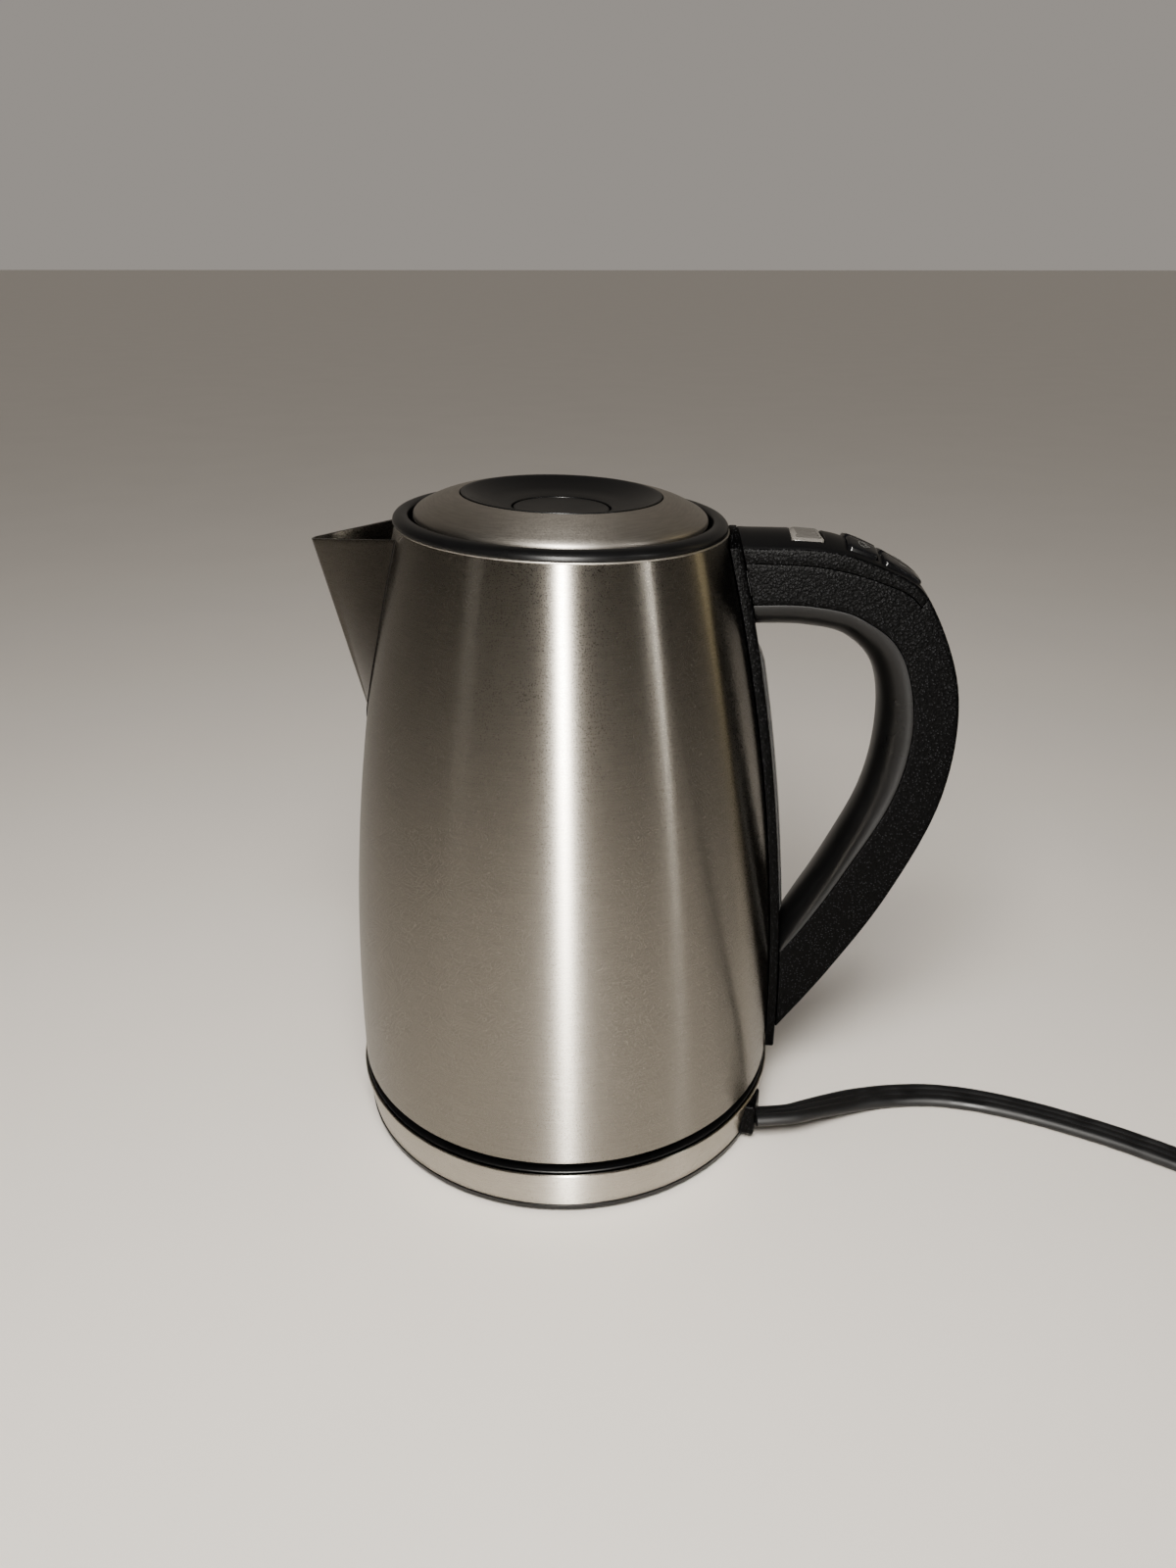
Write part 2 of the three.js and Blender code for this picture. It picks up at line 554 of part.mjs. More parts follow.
function addBase() {
  const outletGap = outletBlock(GAP);
  piece('base_band', cut(turned([
    [75.9, 3.1], [78, BAND_TOP_Z - 0.3], [77.7, BAND_TOP_Z], [77, BAND_TOP_Z - 0.3], [75, 3.1],
  ]), outletGap), steel);

  const screwAngles = [40, 160, 280];
  const feetAngles = [45, 135, 225, 315];
  const skirt = turned([
    [12.6, 17.4], [13.4, 19.2], [15, 18.2], [20, 17.4], [62, 17.4], [71, 18.7], [76.8, 18.7],
    [77.1, 18.3], [76.8, 18], [74.4, 17.6], [73.4, 15.4], [73.4, 4], [71.8, 4], [71.8, 15.4],
    [62, 15.8], [12.6, 15.8],
  ]);
  const posts = screwAngles.map((a) => {
    const [x, y] = onCircle(SCREW_CIRCLE, a);
    return cylinder(4, 3.4, 16.4, x, y, 16);
  });
  const bores = screwAngles.map((a) => {
    const [x, y] = onCircle(SCREW_CIRCLE, a);
    return cylinder(1.8, 2, 13, x, y, 12);
  });
  piece('base_cover', cut(join(skirt, ...posts), ...bores, outletGap), satinBlack);

  const floorHole = (radius, circle, a) =>
    cylinder(radius, 0, 4, ...onCircle(circle, a), 20);
  piece('base_floor', cut(
    cylinder(75.2, FLOOR_Z, 2.8, 0, 0, ROUND),
    ...feetAngles.map((a) => floorHole(5.4, FOOT_CIRCLE, a)),
    ...screwAngles.map((a) => floorHole(3.4, SCREW_CIRCLE, a)),
  ), satinBlack);

  feetAngles.forEach((a, i) => {
    piece(`base_foot_${i + 1}`, turnedSolid([
      [0, 0], [4.4, 0], [5, 0.5], [5, 3], [0, 3],
    ], 20).translate(...onCircle(FOOT_CIRCLE, a), 0), rubberBlack);
  });
  screwAngles.forEach((a, i) => {
    piece(`base_screw_${i + 1}`, turnedSolid([
      [0, 1.3], [3, 1.3], [3, 3], [1.5, 3], [1.5, 12], [0, 12],
    ], 12).translate(...onCircle(SCREW_CIRCLE, a), 0), darkSteel);
  });

  // Round plug tower with its ring groove and centre hole.
  piece('base_connector', turnedSolid([
    [0, 5], [15, 5], [15, 15.4], [11.6, 15.5], [11.6, 30], [10.6, 31], [8.6, 31], [8.6, 19],
    [6, 19], [6, 31], [2.2, 31], [2.2, 17], [0, 17],
  ], 36), satinBlack);
  piece('base_terminal_block', block([26, -16, 3.4], [38, 8, 12]), siliconeGrey);

  piece('cord_gland', outletBlock(0), satinBlack);
}

// ---- Mains cord --------------------------------------------------------------------------
const LIE_Z = 2.3; // axis height of the cord where it lies flat
const cordRoute = [
  [71.5, -34.7, CORD_Z], [79, -33.7, 8], [85, -32.4, 7.8], [90, -30, 7.3], [96.5, -26.4, 6.2],
  [104, -22.4, 4.9], [111.5, -18.7, 3.7], [119, -15.9, 2.8], [127, -14, LIE_Z],
  [137, -13.1, LIE_Z], [147, -13.5, LIE_Z], [158, -15.4, LIE_Z], [170, -18.8, LIE_Z],
  [184, -24.1, LIE_Z], [203, -33, LIE_Z], [221, -43.4, LIE_Z], [232, -50.3, LIE_Z],
  [243, -57.2, LIE_Z],
].map(([x, y, z]) => new THREE.Vector3(x, y, z));

const COIL_X = 304.2;
const COIL_Y = -30.6;
const COIL_R = 55;

const tailRoute = [
  [356.4, 12, 6.2], [356, 20, 6], [355.7, 30, 6.8], [355.5, 41.7, 8],
].map(([x, y, z]) => new THREE.Vector3(x, y, z));

// A flat tube: width stays level and square to the route.
function flatTube(route, steps, width = CORD_WIDTH, thick = CORD_THICK) {
  const curve = new THREE.CatmullRomCurve3(route, false, 'centripetal');
  const section = flatSection(width, thick);
  const rings = [];
  for (let i = 0; i <= steps; i += 1) {
    const centre = curve.getPointAt(i / steps);
    const ahead = curve.getTangentAt(i / steps);
    const across = new THREE.Vector3(0, 0, 1).cross(ahead).normalize();
    const up = ahead.clone().cross(across);
    rings.push(section.map((p) =>
      centre.clone().addScaledVector(across, p.y).addScaledVector(up, p.x)));
  }
  return loft(rings);
}

function roundedRing(centre, width, height) {
  const corner = Math.min(width, height) * 0.3;
  const ring = [];
  for (const [sx, sz, start] of [[1, 1, 0], [-1, 1, 1], [-1, -1, 2], [1, -1, 3]]) {
    for (let k = 0; k <= 2; k += 1) {
      const a = (start + k / 2) * (Math.PI / 2);
      ring.push(new THREE.Vector3(
        centre.x + sx * (width / 2 - corner) + corner * Math.cos(a),
        centre.y,
        centre.z + sz * (height / 2 - corner) + corner * Math.sin(a),
      ));
    }
  }
  return ring;
}

function addCord() {
  piece('power_cord', cut(flatTube(cordRoute, 36), outletBlock(GAP)), rubberBlack);
  piece('cord_coil', turned([
    [COIL_R - 5.6, 0.2], [COIL_R + 5.6, 0.2], [COIL_R + 5.6, 10.8], [COIL_R - 5.6, 10.8],
  ], 40).translate(COIL_X, COIL_Y, 0), rubberBlack);
  piece('cord_tail', flatTube(tailRoute, 8), rubberBlack);

  // Moulded plug lying on the surface, its strain relief towards the cord.
  const plugX = 355.5;
  const plugSections = [
    [42, 8, 12.6, 6.6], [58, 9.6, 15.5, 9.5], [63, 11.7, 24, 20], [68, 12, 26.5, 23],
    [96, 12, 26.5, 23], [98, 12, 24.5, 21],
  ];
  piece('plug_body', loft(plugSections.map(([y, z, width, height]) =>
    roundedRing(new THREE.Vector3(plugX, y, z), width, height))), rubberBlack);
  const bladeY = 98.3;
  for (const [name, side] of [['left', -1], ['right', 1]]) {
    const x = plugX + side * 6.35;
    piece(`plug_blade_${name}`,
      block([x - 0.75, bladeY, 12.6], [x + 0.75, bladeY + 16, 18.9]), brass);
  }
  piece('plug_earth_pin', cylinder(2.4, 0, 18, 0, 0, 14).rotateX(-Math.PI / 2)
    .translate(plugX, bladeY, 5.2), brass);
}

// ---- Jug socket --------------------------------------------------------------------------
// Female half of the connector: a well around the tower, a ring prong and a centre pin.
function addSocket() {
  piece('jug_socket', turnedSolid([
    [0, 20], [1.4, 20], [1.4, 31.6], [6.7, 31.6], [6.7, 21], [7.9, 21], [7.9, 31.6],
    [12.3, 31.6], [12.3, 20], [16.5, 20], [16.5, 34], [0, 34],
  ], 36), glossBlack);
}

addBase();
addCord();
addSocket();
addJug();
addLip();
addHandle();
addLid();

export default kettle;
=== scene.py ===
"""Looks of the cordless electric jug kettle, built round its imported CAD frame.

The outlines repeat the design's own dimensions, in millimetres, and every finished mesh is in metres
in the frame of the CAD model: +Z up, handle along +X, pouring lip along -X, cord towards +X.
"""

import math

import bmesh
import bpy
from mathutils import Matrix, Vector


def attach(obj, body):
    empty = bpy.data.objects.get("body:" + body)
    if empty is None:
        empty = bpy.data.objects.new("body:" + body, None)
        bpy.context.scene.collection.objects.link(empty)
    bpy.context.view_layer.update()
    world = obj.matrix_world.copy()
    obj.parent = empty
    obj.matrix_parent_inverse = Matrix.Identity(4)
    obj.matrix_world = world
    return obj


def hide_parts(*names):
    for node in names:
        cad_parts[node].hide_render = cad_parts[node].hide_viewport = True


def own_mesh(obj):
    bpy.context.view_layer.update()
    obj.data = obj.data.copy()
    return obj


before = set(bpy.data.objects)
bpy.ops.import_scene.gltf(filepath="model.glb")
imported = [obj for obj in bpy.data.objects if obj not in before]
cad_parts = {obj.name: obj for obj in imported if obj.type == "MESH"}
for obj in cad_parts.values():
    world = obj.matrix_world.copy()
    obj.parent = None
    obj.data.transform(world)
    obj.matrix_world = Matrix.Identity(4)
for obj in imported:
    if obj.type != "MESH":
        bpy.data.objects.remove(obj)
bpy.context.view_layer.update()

MM = 0.001
SEGMENTS = 192  # facets of a full turn
SHARP = 32  # degrees between faces from which an edge is shaded sharp

# ---- Driving dimensions, in millimetres ----
GAP = 0.3
JUG_FOOT_Z, JUG_FOOT_R = 22.0, 77.0
JUG_RIM_Z, JUG_RIM_R = 219.0, 52.6
JUG_SHOULDER = 2.1
JUG_WALL = 1.0

RIM_TILT = math.radians(1.8)
RIM_PLANE_Z = 218.9
TILTED = Matrix.Translation((0, 0, RIM_PLANE_Z)) @ Matrix.Rotation(RIM_TILT, 4, "Y")

HANDLE_HALF = 12.0
HANDLE_WALL = 2.2
BRACKET_DEPTH = 2.8
COVER_DEPTH = 8.6
COVER_TIP_DEPTH = 4.2
COVER_END = 0.36
DISPLAY_AT = 0.0963  # places along the handle run from 0 at the rim to 1 at its foot
BUTTON_ROWS = {"front": (0.192, 10.6), "rear": (0.285, 14.4)}  # place along the handle, length
BUTTON_WIDTH = 8.4
BUTTON_RISE = 1.2
BUTTON_DEPTH = 3.2

CORD_WIDTH, CORD_THICK = 10.4, 4.4

WARM_WHITE = (1, 0.97, 0.92)
AMBER = (1, 0.84, 0.5)


def put(name, data):
    """A new object that shows the data, in the scene."""
    made = bpy.data.objects.new(name, data)
    bpy.context.scene.collection.objects.link(made)
    return made


# ---- Camera, light and floor ----
CAMERA_PLACE = (0.0254, -0.3631, 0.2945)
LOOK_DOWN, LOOK_LEFT = 24.96, 2.65  # degrees


def add_camera():
    """A wide-angle camera close in front of the kettle, a little above its lid."""
    data = bpy.data.cameras.new("camera")
    data.sensor_width = 36
    data.lens = 26.0
    data.clip_start = 0.01
    camera = put("camera", data)
    camera.location = CAMERA_PLACE
    camera.rotation_euler = (math.radians(90 - LOOK_DOWN), 0, math.radians(LOOK_LEFT))
    bpy.context.scene.camera = camera


def add_light(name, place, target, size, power, mirrored=True, tint=WARM_WHITE):
    """An area light; one that isn't mirrored lights surfaces but leaves no gloss on them."""
    data = bpy.data.lights.new(name, "AREA")
    data.shape = "RECTANGLE"
    data.size, data.size_y = size
    data.energy = power
    data.color = tint
    light = put(name, data)
    light.location = place
    light.rotation_euler = (Vector(target) - Vector(place)).to_track_quat("-Z", "Y").to_euler()
    light.visible_camera = False
    light.visible_glossy = mirrored
    return light


def add_sky(strength, spread):
    """A very wide, soft overhead light that reaches the whole floor."""
    data = bpy.data.lights.new("sky", "SUN")
    data.energy = strength
    data.angle = math.radians(spread)
    data.color = (1, 0.96, 0.91)
    sky = put("sky", data)
    sky.rotation_euler = (math.radians(8), math.radians(-6), 0)
    sky.visible_glossy = False


def add_world():
    """Surroundings that are dark in front and lighter behind, on a plain grey view."""
    world = bpy.data.worlds.new("studio")
    bpy.context.scene.world = world
    world.use_nodes = True
    nodes, links = world.node_tree.nodes, world.node_tree.links
    place = nodes.new("ShaderNodeTexCoord")
    split = nodes.new("ShaderNodeSeparateXYZ")
    room = nodes.new("ShaderNodeValToRGB")
    front, back = room.color_ramp.elements
    front.position, back.position = 0.0, 0.85
    front.color = (0.020, 0.018, 0.016, 1)
    back.color = (0.20, 0.18, 0.155, 1)
    links.new(place.outputs["Generated"], split.inputs["Vector"])
    links.new(split.outputs["Y"], room.inputs["Fac"])
    links.new(room.outputs["Color"], nodes["Background"].inputs["Color"])
    seen = nodes.new("ShaderNodeBackground")
    seen.inputs["Color"].default_value = (0.33, 0.305, 0.28, 1)
    ray = nodes.new("ShaderNodeLightPath")
    choice = nodes.new("ShaderNodeMixShader")
    links.new(ray.outputs["Is Camera Ray"], choice.inputs["Fac"])
    links.new(nodes["Background"].outputs["Background"], choice.inputs[1])
    links.new(seen.outputs["Background"], choice.inputs[2])
    links.new(choice.outputs["Shader"], nodes["World Output"].inputs["Surface"])


def add_studio():
    """Narrow lamps that only show as gloss on the steel, and soft light without gloss."""
    wall = (0, 0, 0.12)
    glints = (
        add_light("front_key", (0.085, -1.2, 0.56), wall, (0.07, 1.1), 64),
        add_light("right_strip", (1.02, -0.57, 0.55), wall, (0.025, 0.9), 1.9),
        add_light("left_glow", (-0.96, -0.72, 0.5), wall, (0.2, 0.7), 0.16),
        add_light("warm_side", (1.12, 0.30, 0.5), wall, (0.16, 0.8), 0.5, tint=AMBER),
    )
    for glint in glints:
        glint.visible_diffuse = False
    add_light("lamp", (-0.02, -0.42, 0.62), (0, -0.14, 0), (0.3, 0.3), 9, mirrored=False)
    add_sky(0.7, 70)
    add_world()


add_camera()
add_studio()


# ---- Materials ----
class Look:
    """A Principled material whose detail comes from noise in the object's own space."""

    def __init__(self, name, color, roughness, metallic=0.0, **fixed):
        self.material = bpy.data.materials.new(name)
        self.material.use_nodes = True
        self.tree = self.material.node_tree
        self.shader = self.tree.nodes["Principled BSDF"]
        self.color = color
        self.shader.inputs["Base Color"].default_value = (*color, 1)
        self.shader.inputs["Roughness"].default_value = roughness
        self.shader.inputs["Metallic"].default_value = metallic
        for socket, value in fixed.items():
            self.shader.inputs[socket.replace("_", " ")].default_value = value

    def node(self, kind, **values):
        made = self.tree.nodes.new(kind)
        for key, value in values.items():
            if key in made.inputs:
                made.inputs[key].default_value = value
            else:
                setattr(made, key, value)
        return made

    def join(self, source, out, target, socket):
        self.tree.links.new(source.outputs[out], target.inputs[socket])

    def noise(self, scale, stretch=(1, 1, 1), detail=3.0):
        """Noise in metres: scale is in features per metre, stretch multiplies it per axis."""
        place = self.node("ShaderNodeTexCoord")
        mapping = self.node("ShaderNodeMapping")
        mapping.inputs["Scale"].default_value = stretch
        noise = self.node("ShaderNodeTexNoise", Scale=scale, Detail=detail)
        self.join(place, "Object", mapping, "Vector")
        self.join(mapping, "Vector", noise, "Vector")
        return noise

    def cells(self, scale):
        place = self.node("ShaderNodeTexCoord")
        cells = self.node("ShaderNodeTexVoronoi", Scale=scale)
        self.join(place, "Object", cells, "Vector")
        return cells

    def vary_roughness(self, source, out, low, high):
        ramp = self.node("ShaderNodeMapRange")
        ramp.inputs["From Min"].default_value = 0.3
        ramp.inputs["From Max"].default_value = 0.7
        ramp.inputs["To Min"].default_value = low
        ramp.inputs["To Max"].default_value = high
        self.join(source, out, ramp, "Value")
        self.join(ramp, "Result", self.shader, "Roughness")

    def vary_color(self, source, out, first, last, low=0.3, high=0.7):
        """The colour times first where the source is under low, times last where it is over high."""
        ramp = self.node("ShaderNodeValToRGB")
        for end, place, share in zip(ramp.color_ramp.elements, (low, high), (first, last)):
            end.position = place
            end.color = (*[min(1, c * share) for c in self.color], 1)
        self.join(source, out, ramp, "Fac")
        self.join(ramp, "Color", self.shader, "Base Color")

    def bump(self, *sources, strength=0.3, distance=0.0001):
        """Relief from (node, output, share) sources; a negative share turns the relief over."""
        last = None
        for source, out, share in sources:
            bump = self.node("ShaderNodeBump", Strength=strength * abs(share), Distance=distance)
            bump.invert = share < 0
            self.join(source, out, bump, "Height")
            if last:
                self.join(last, "Normal", bump, "Normal")
            last = bump
        self.join(last, "Normal", self.shader, "Normal")


def brushed(name, color, roughness, depth, spread=1.0):
    """Stainless steel brushed round the Z axis, which spreads its gloss up and down."""
    look = Look(name, color, roughness, 1.0, Anisotropic=spread, Anisotropic_Rotation=0.25)
    streaks = look.noise(30, (1, 1, 110), 2)
    fine = look.noise(150, (1, 1, 34), 3)
    sparkle = look.noise(2600, detail=1)
    look.vary_roughness(sparkle, "Fac", roughness - 0.04, roughness + 0.05)
    look.vary_color(fine, "Fac", 0.90, 1.11)
    look.bump((streaks, "Fac", 1.0), (sparkle, "Fac", 0.4), strength=depth, distance=0.00004)
    tangent = look.node("ShaderNodeTangent", direction_type="RADIAL", axis="Z")
    look.join(tangent, "Tangent", look.shader, "Tangent")
    return look.material


def plain_steel(name, color, roughness):
    look = Look(name, color, roughness, 1.0)
    grain = look.noise(900, detail=3)
    look.vary_roughness(grain, "Fac", roughness - 0.05, roughness + 0.08)
    look.bump((grain, "Fac", 1.0), strength=0.06, distance=0.00005)
    return look.material


def satin_plastic(name, color, roughness, texture=0.05, scale=2600):
    look = Look(name, color, roughness, 0.0, Specular_IOR_Level=0.25)
    grain = look.noise(scale, detail=2)
    wear = look.noise(45, detail=3)
    look.vary_roughness(wear, "Fac", roughness - 0.04, roughness + 0.06)
    look.vary_color(wear, "Fac", 0.85, 1.2)
    look.bump((grain, "Fac", 1.0), strength=texture, distance=0.0001)
    return look.material


def pebbled_plastic(name, color, roughness):
    """Moulded-in leather grain: small rounded pebbles, with painted glints as pale tops and painted
    shade in the gaps between them.
    """
    look = Look(name, color, roughness, 0.0, Specular_IOR_Level=0.035)
    pebbles = look.cells(1100)
    grain = look.noise(2400, detail=3)
    look.vary_roughness(grain, "Fac", roughness - 0.1, roughness + 0.08)
    # Painted glints: twenty times the colour on the pebble tops; painted shade: 0.7 times the colour
    # in the gaps between pebbles.
    look.vary_color(pebbles, "Distance", 20, 0.7, 0.17, 0.29)
    look.bump((pebbles, "Distance", -1.0), (grain, "Fac", 0.6), strength=0.5, distance=0.0002)
    return look.material


def clear_plastic(name, color, roughness, through):
    look = Look(name, color, roughness, 0.0, Transmission_Weight=through, IOR=1.49)
    haze = look.noise(60, detail=3)
    look.vary_roughness(haze, "Fac", roughness, roughness + 0.08)
    look.vary_color(haze, "Fac", 0.92, 1.06)
    return look.material


def cord_sheath(name):
    look = Look(name, (0.004, 0.004, 0.0044), 0.42, 0.0, Specular_IOR_Level=0.3)
    grain = look.noise(1500, detail=3)
    scuffs = look.noise(120, detail=4)
    look.vary_roughness(scuffs, "Fac", 0.34, 0.55)
    look.vary_color(scuffs, "Fac", 0.8, 1.5)
    look.bump((grain, "Fac", 1.0), strength=0.12, distance=0.0001)
    return look.material


def circuit_board(name):
    look = Look(name, (0.02, 0.12, 0.05), 0.4)
    tracks = look.cells(420)
    look.vary_color(tracks, "Distance", 0.7, 1.5)
    look.bump((tracks, "Distance", 1.0), strength=0.2, distance=0.0001)
    return look.material


LOOKS = {
    "brushed_steel": brushed("brushed_steel_look", (0.22, 0.204, 0.177), 0.29, 0.10),
    "dark_steel": plain_steel("dark_steel_look", (0.48, 0.47, 0.45), 0.34),
    "satin_black": satin_plastic("satin_black_look", (0.0026, 0.0026, 0.0028), 0.30),
    "textured_black": pebbled_plastic("textured_black_look", (0.0009, 0.0009, 0.001), 0.36),
    "gloss_black": satin_plastic("gloss_black_look", (0.004, 0.004, 0.0045), 0.14, 0.02),
    "rubber_black": cord_sheath("rubber_black_look"),
    "silicone_grey": satin_plastic("silicone_grey_look", (0.33, 0.33, 0.32), 0.55),
    "board_green": circuit_board("board_green_look"),
    "window_smoke": clear_plastic("window_smoke_look", (0.10, 0.10, 0.10), 0.14, 0.35),
    "display_silver": clear_plastic("display_silver_look", (0.15, 0.14, 0.127), 0.12, 0.1),
    "brass": plain_steel("brass_look", (0.62, 0.45, 0.2), 0.28),
}
LID_STEEL = brushed("lid_steel_look", (0.40, 0.37, 0.33), 0.42, 0.08, 0.5)
# A darker copy of the jug's steel on the lip: painted shade for the dark surroundings it reflects.
LIP_SHADE_STEEL = brushed("lip_shade_steel_look", (0.105, 0.096, 0.083), 0.28, 0.08, 0.8)
# A lighter copy of the jug's steel on the base ring: painted highlight that keeps the band bright.
BASE_HIGHLIGHT_STEEL = brushed("base_highlight_steel_look", (0.42, 0.39, 0.34), 0.30, 0.10)
INNER_GREY = satin_plastic("display_inner_look", (0.075, 0.07, 0.064), 0.12)
# A lighter copy of the jug's steel on the rim bead: painted highlight along the edge under the
# collar.
BEAD_HIGHLIGHT_STEEL = brushed("rim_bead_highlight_look", (0.42, 0.395, 0.35), 0.36, 0.02, 0.3)
# Near-black steel for the tubes along the lip's joints: painted shade of the gap between lip and
# wall.
LIP_GAP_SHADE = plain_steel("lip_gap_shade_look", (0.012, 0.011, 0.010), 0.5)
ICON_GREY = satin_plastic("icon_look", (0.07, 0.07, 0.068), 0.35)


FLOOR_HALF = 30


def add_floor():
    look = Look("floor_look", (0.76, 0.715, 0.66), 0.6)
    speckle = look.noise(9, detail=4)
    look.vary_color(speckle, "Fac", 0.985, 1.01)
    mesh = bpy.data.meshes.new("floor")
    corners = [(-1, -1), (1, -1), (1, 1), (-1, 1)]
    mesh.from_pydata([(x * FLOOR_HALF, y * FLOOR_HALF, 0) for x, y in corners], [], [(0, 1, 2, 3)])
    mesh.materials.append(look.material)
    put("floor", mesh)


add_floor()


# ---- Mesh helpers ----
def solid(name, vertices, faces, material, place=None, sharp=SHARP):
    """A shaded mesh object from points in millimetres, its faces turned outwards."""
    mesh = bpy.data.meshes.new(name)
    mesh.from_pydata([Vector(v) for v in vertices], [], faces)
    work = bmesh.new()
    work.from_mesh(mesh)
    bmesh.ops.remove_doubles(work, verts=work.verts, dist=1e-4)
    bmesh.ops.recalc_face_normals(work, faces=work.faces)
    work.to_mesh(mesh)
    work.free()
    if place:
        mesh.transform(place)
    mesh.transform(Matrix.Scale(MM, 4))
    mesh.shade_smooth()
    mesh.set_sharp_from_angle(angle=math.radians(sharp))
    mesh.materials.append(material)
    return put(name, mesh)


def stands_for(piece, body, slot, *nodes):
    """The piece rides on the body and replaces the CAD nodes; its slot is not used."""
    if nodes:
        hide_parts(*nodes)
    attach(piece, body)
    return piece


def rounded(outline, radius, closed=True, steps=4):
    """The outline with each corner turned into a short curve, radius a number or one per corner."""
    count = len(outline)
    radii = radius if isinstance(radius, (list, tuple)) else [radius] * count
    result = []
    for i, corner in enumerate(outline):
        here = Vector(corner)
        if radii[i] == 0 or (not closed and i in (0, count - 1)):
            result.append(tuple(here))
            continue
        before = Vector(outline[i - 1]) - here
        after = Vector(outline[(i + 1) % count]) - here
        reach = min(radii[i], before.length * 0.45, after.length * 0.45)
        start = here + before.normalized() * reach
        end = here + after.normalized() * reach
        for k in range(steps + 1):
            t = k / steps
            result.append(tuple(start * (1 - t) ** 2 + here * 2 * t * (1 - t) + end * t**2))
    return result


def loop_faces(rows, count):
    """Quads between closed rings of count points, ring after ring."""
    faces = []
    for i in range(rows - 1):
        for j in range(count):
            a = i * count + j
            b = i * count + (j + 1) % count
            faces.append((a, b, b + count, a + count))
    return faces


def hoop_faces(rows, count):
    """Quads between closed rings of count points, with the last ring joined to the first."""
    faces = []
    for k in range(rows):
        a, b = k * count, ((k + 1) % rows) * count
        for j in range(count):
            n = (j + 1) % count
            faces.append((a + j, b + j, b + n, a + n))
    return faces


def turned(name, outline, material, place=None, segments=SEGMENTS):
    """A ring of the closed [radius, height] outline, turned about Z."""
    vertices = []
    for k in range(segments):
        a = 2 * math.pi * k / segments
        vertices += [(r * math.cos(a), r * math.sin(a), z) for r, z in outline]
    return solid(name, vertices, hoop_faces(segments, len(outline)), material, place)


def lofted(name, rings, material, place=None, sharp=SHARP):
    """Skin over closed rings of equal length, with a flat face over each end."""
    count = len(rings[0])
    vertices = [v for ring in rings for v in ring]
    faces = loop_faces(len(rings), count)
    faces.append(tuple(range(count)))
    faces.append(tuple(range((len(rings) - 1) * count, len(rings) * count)))
    return solid(name, vertices, faces, material, place, sharp)


def circle(radius, count):
    """Points of a circle round the origin."""
    angles = [2 * math.pi * k / count for k in range(count)]
    return [(radius * math.cos(a), radius * math.sin(a)) for a in angles]


def wire_ring(radius, a, level, wire):
    """Section of a round wire that runs round Z: the wire's place and its own radius."""
    return [((radius + out) * math.cos(a), (radius + out) * math.sin(a), level + up)
            for out, up in circle(wire, 10)]


def carve(piece, *cutters):
    """Cuts closed pieces out of a piece and throws the cutters away."""
    for cutter in cutters:
        change = piece.modifiers.new("cut", "BOOLEAN")
        change.operation = "DIFFERENCE"
        change.solver = "EXACT"
        change.object = cutter
    bpy.context.view_layer.update()
    depsgraph = bpy.context.evaluated_depsgraph_get()
    mesh = bpy.data.meshes.new_from_object(piece.evaluated_get(depsgraph))
    piece.modifiers.clear()
    piece.data = mesh
    for cutter in cutters:
        bpy.data.objects.remove(cutter)
    mesh.shade_smooth()
    mesh.set_sharp_from_angle(angle=math.radians(SHARP))
    return piece


def bar(name, low, high, place=None):
    """A plain block, the start of a cutter or a boss."""
    x, y, z = zip(low, high)
    ring = [(0, 0), (1, 0), (1, 1), (0, 1)]
    rings = [[(x[i], y[j], z[k]) for i, j in ring] for k in (0, 1)]
    return lofted(name, rings, LOOKS["satin_black"], place)


def round_edges(piece, width, angle=50, segments=3):
    """A bevel over the edges that are sharper than the angle."""
    change = piece.modifiers.new("rounded_edges", "BEVEL")
    change.width = width * MM
    change.segments = segments
    change.limit_method = "ANGLE"
    change.angle_limit = math.radians(angle)
    return piece


def sheet_skin(name, rows, keep, wall, material):
    """A grid of points given a wall on its inner side; keep(i, j) says which faces are there."""
    count = len(rows[0])
    vertices = [v for row in rows for v in row]
    faces = []
    for i in range(len(rows) - 1):
        for j in range(count - 1):
            if keep(i, j):
                a = i * count + j
                faces.append((a, a + count, a + count + 1, a + 1))
    mesh = bpy.data.meshes.new(name)
    mesh.from_pydata([Vector(v) * MM for v in vertices], [], faces)
    work = bmesh.new()
    work.from_mesh(mesh)
    bmesh.ops.delete(work, geom=[v for v in work.verts if not v.link_faces], context="VERTS")
    work.to_mesh(mesh)
    work.free()
    mesh.shade_smooth()
    mesh.materials.append(material)
    piece = put(name, mesh)
    thick = piece.modifiers.new("wall", "SOLIDIFY")
    thick.thickness = wall * MM
    thick.offset = -1
    thick.use_even_offset = True
    round_edges(piece, 0.35)
    return piece


# ---- Curves shared with the design ----
def jug_radius(z):
    t = max(0.0, (z - JUG_FOOT_Z) / (JUG_RIM_Z - JUG_FOOT_Z))
    return JUG_FOOT_R - (JUG_FOOT_R - JUG_RIM_R) * t**JUG_SHOULDER


def smoothstep(x, low, high):
    t = min(1.0, max(0.0, (x - low) / (high - low)))
    return t * t * (3 - 2 * t)


def mix(a, b, t):
    return a + (b - a) * t


def spline(points, u):
    """A uniform Catmull-Rom curve through the points, u from 0 to 1."""
    spans = len(points) - 1
    place = min(max(u, 0.0), 1.0) * spans
    i = min(int(place), spans - 1)
    t = place - i
    p0, p1 = Vector(points[max(i - 1, 0)]), Vector(points[i])
    p2, p3 = Vector(points[i + 1]), Vector(points[min(i + 2, spans)])
    v0, v1 = (p2 - p0) / 2, (p3 - p1) / 2
    return (
        (2 * p1 - 2 * p2 + v0 + v1) * t**3
        + (3 * p2 - 3 * p1 - 2 * v0 - v1) * t**2
        + v0 * t
        + p1
    )


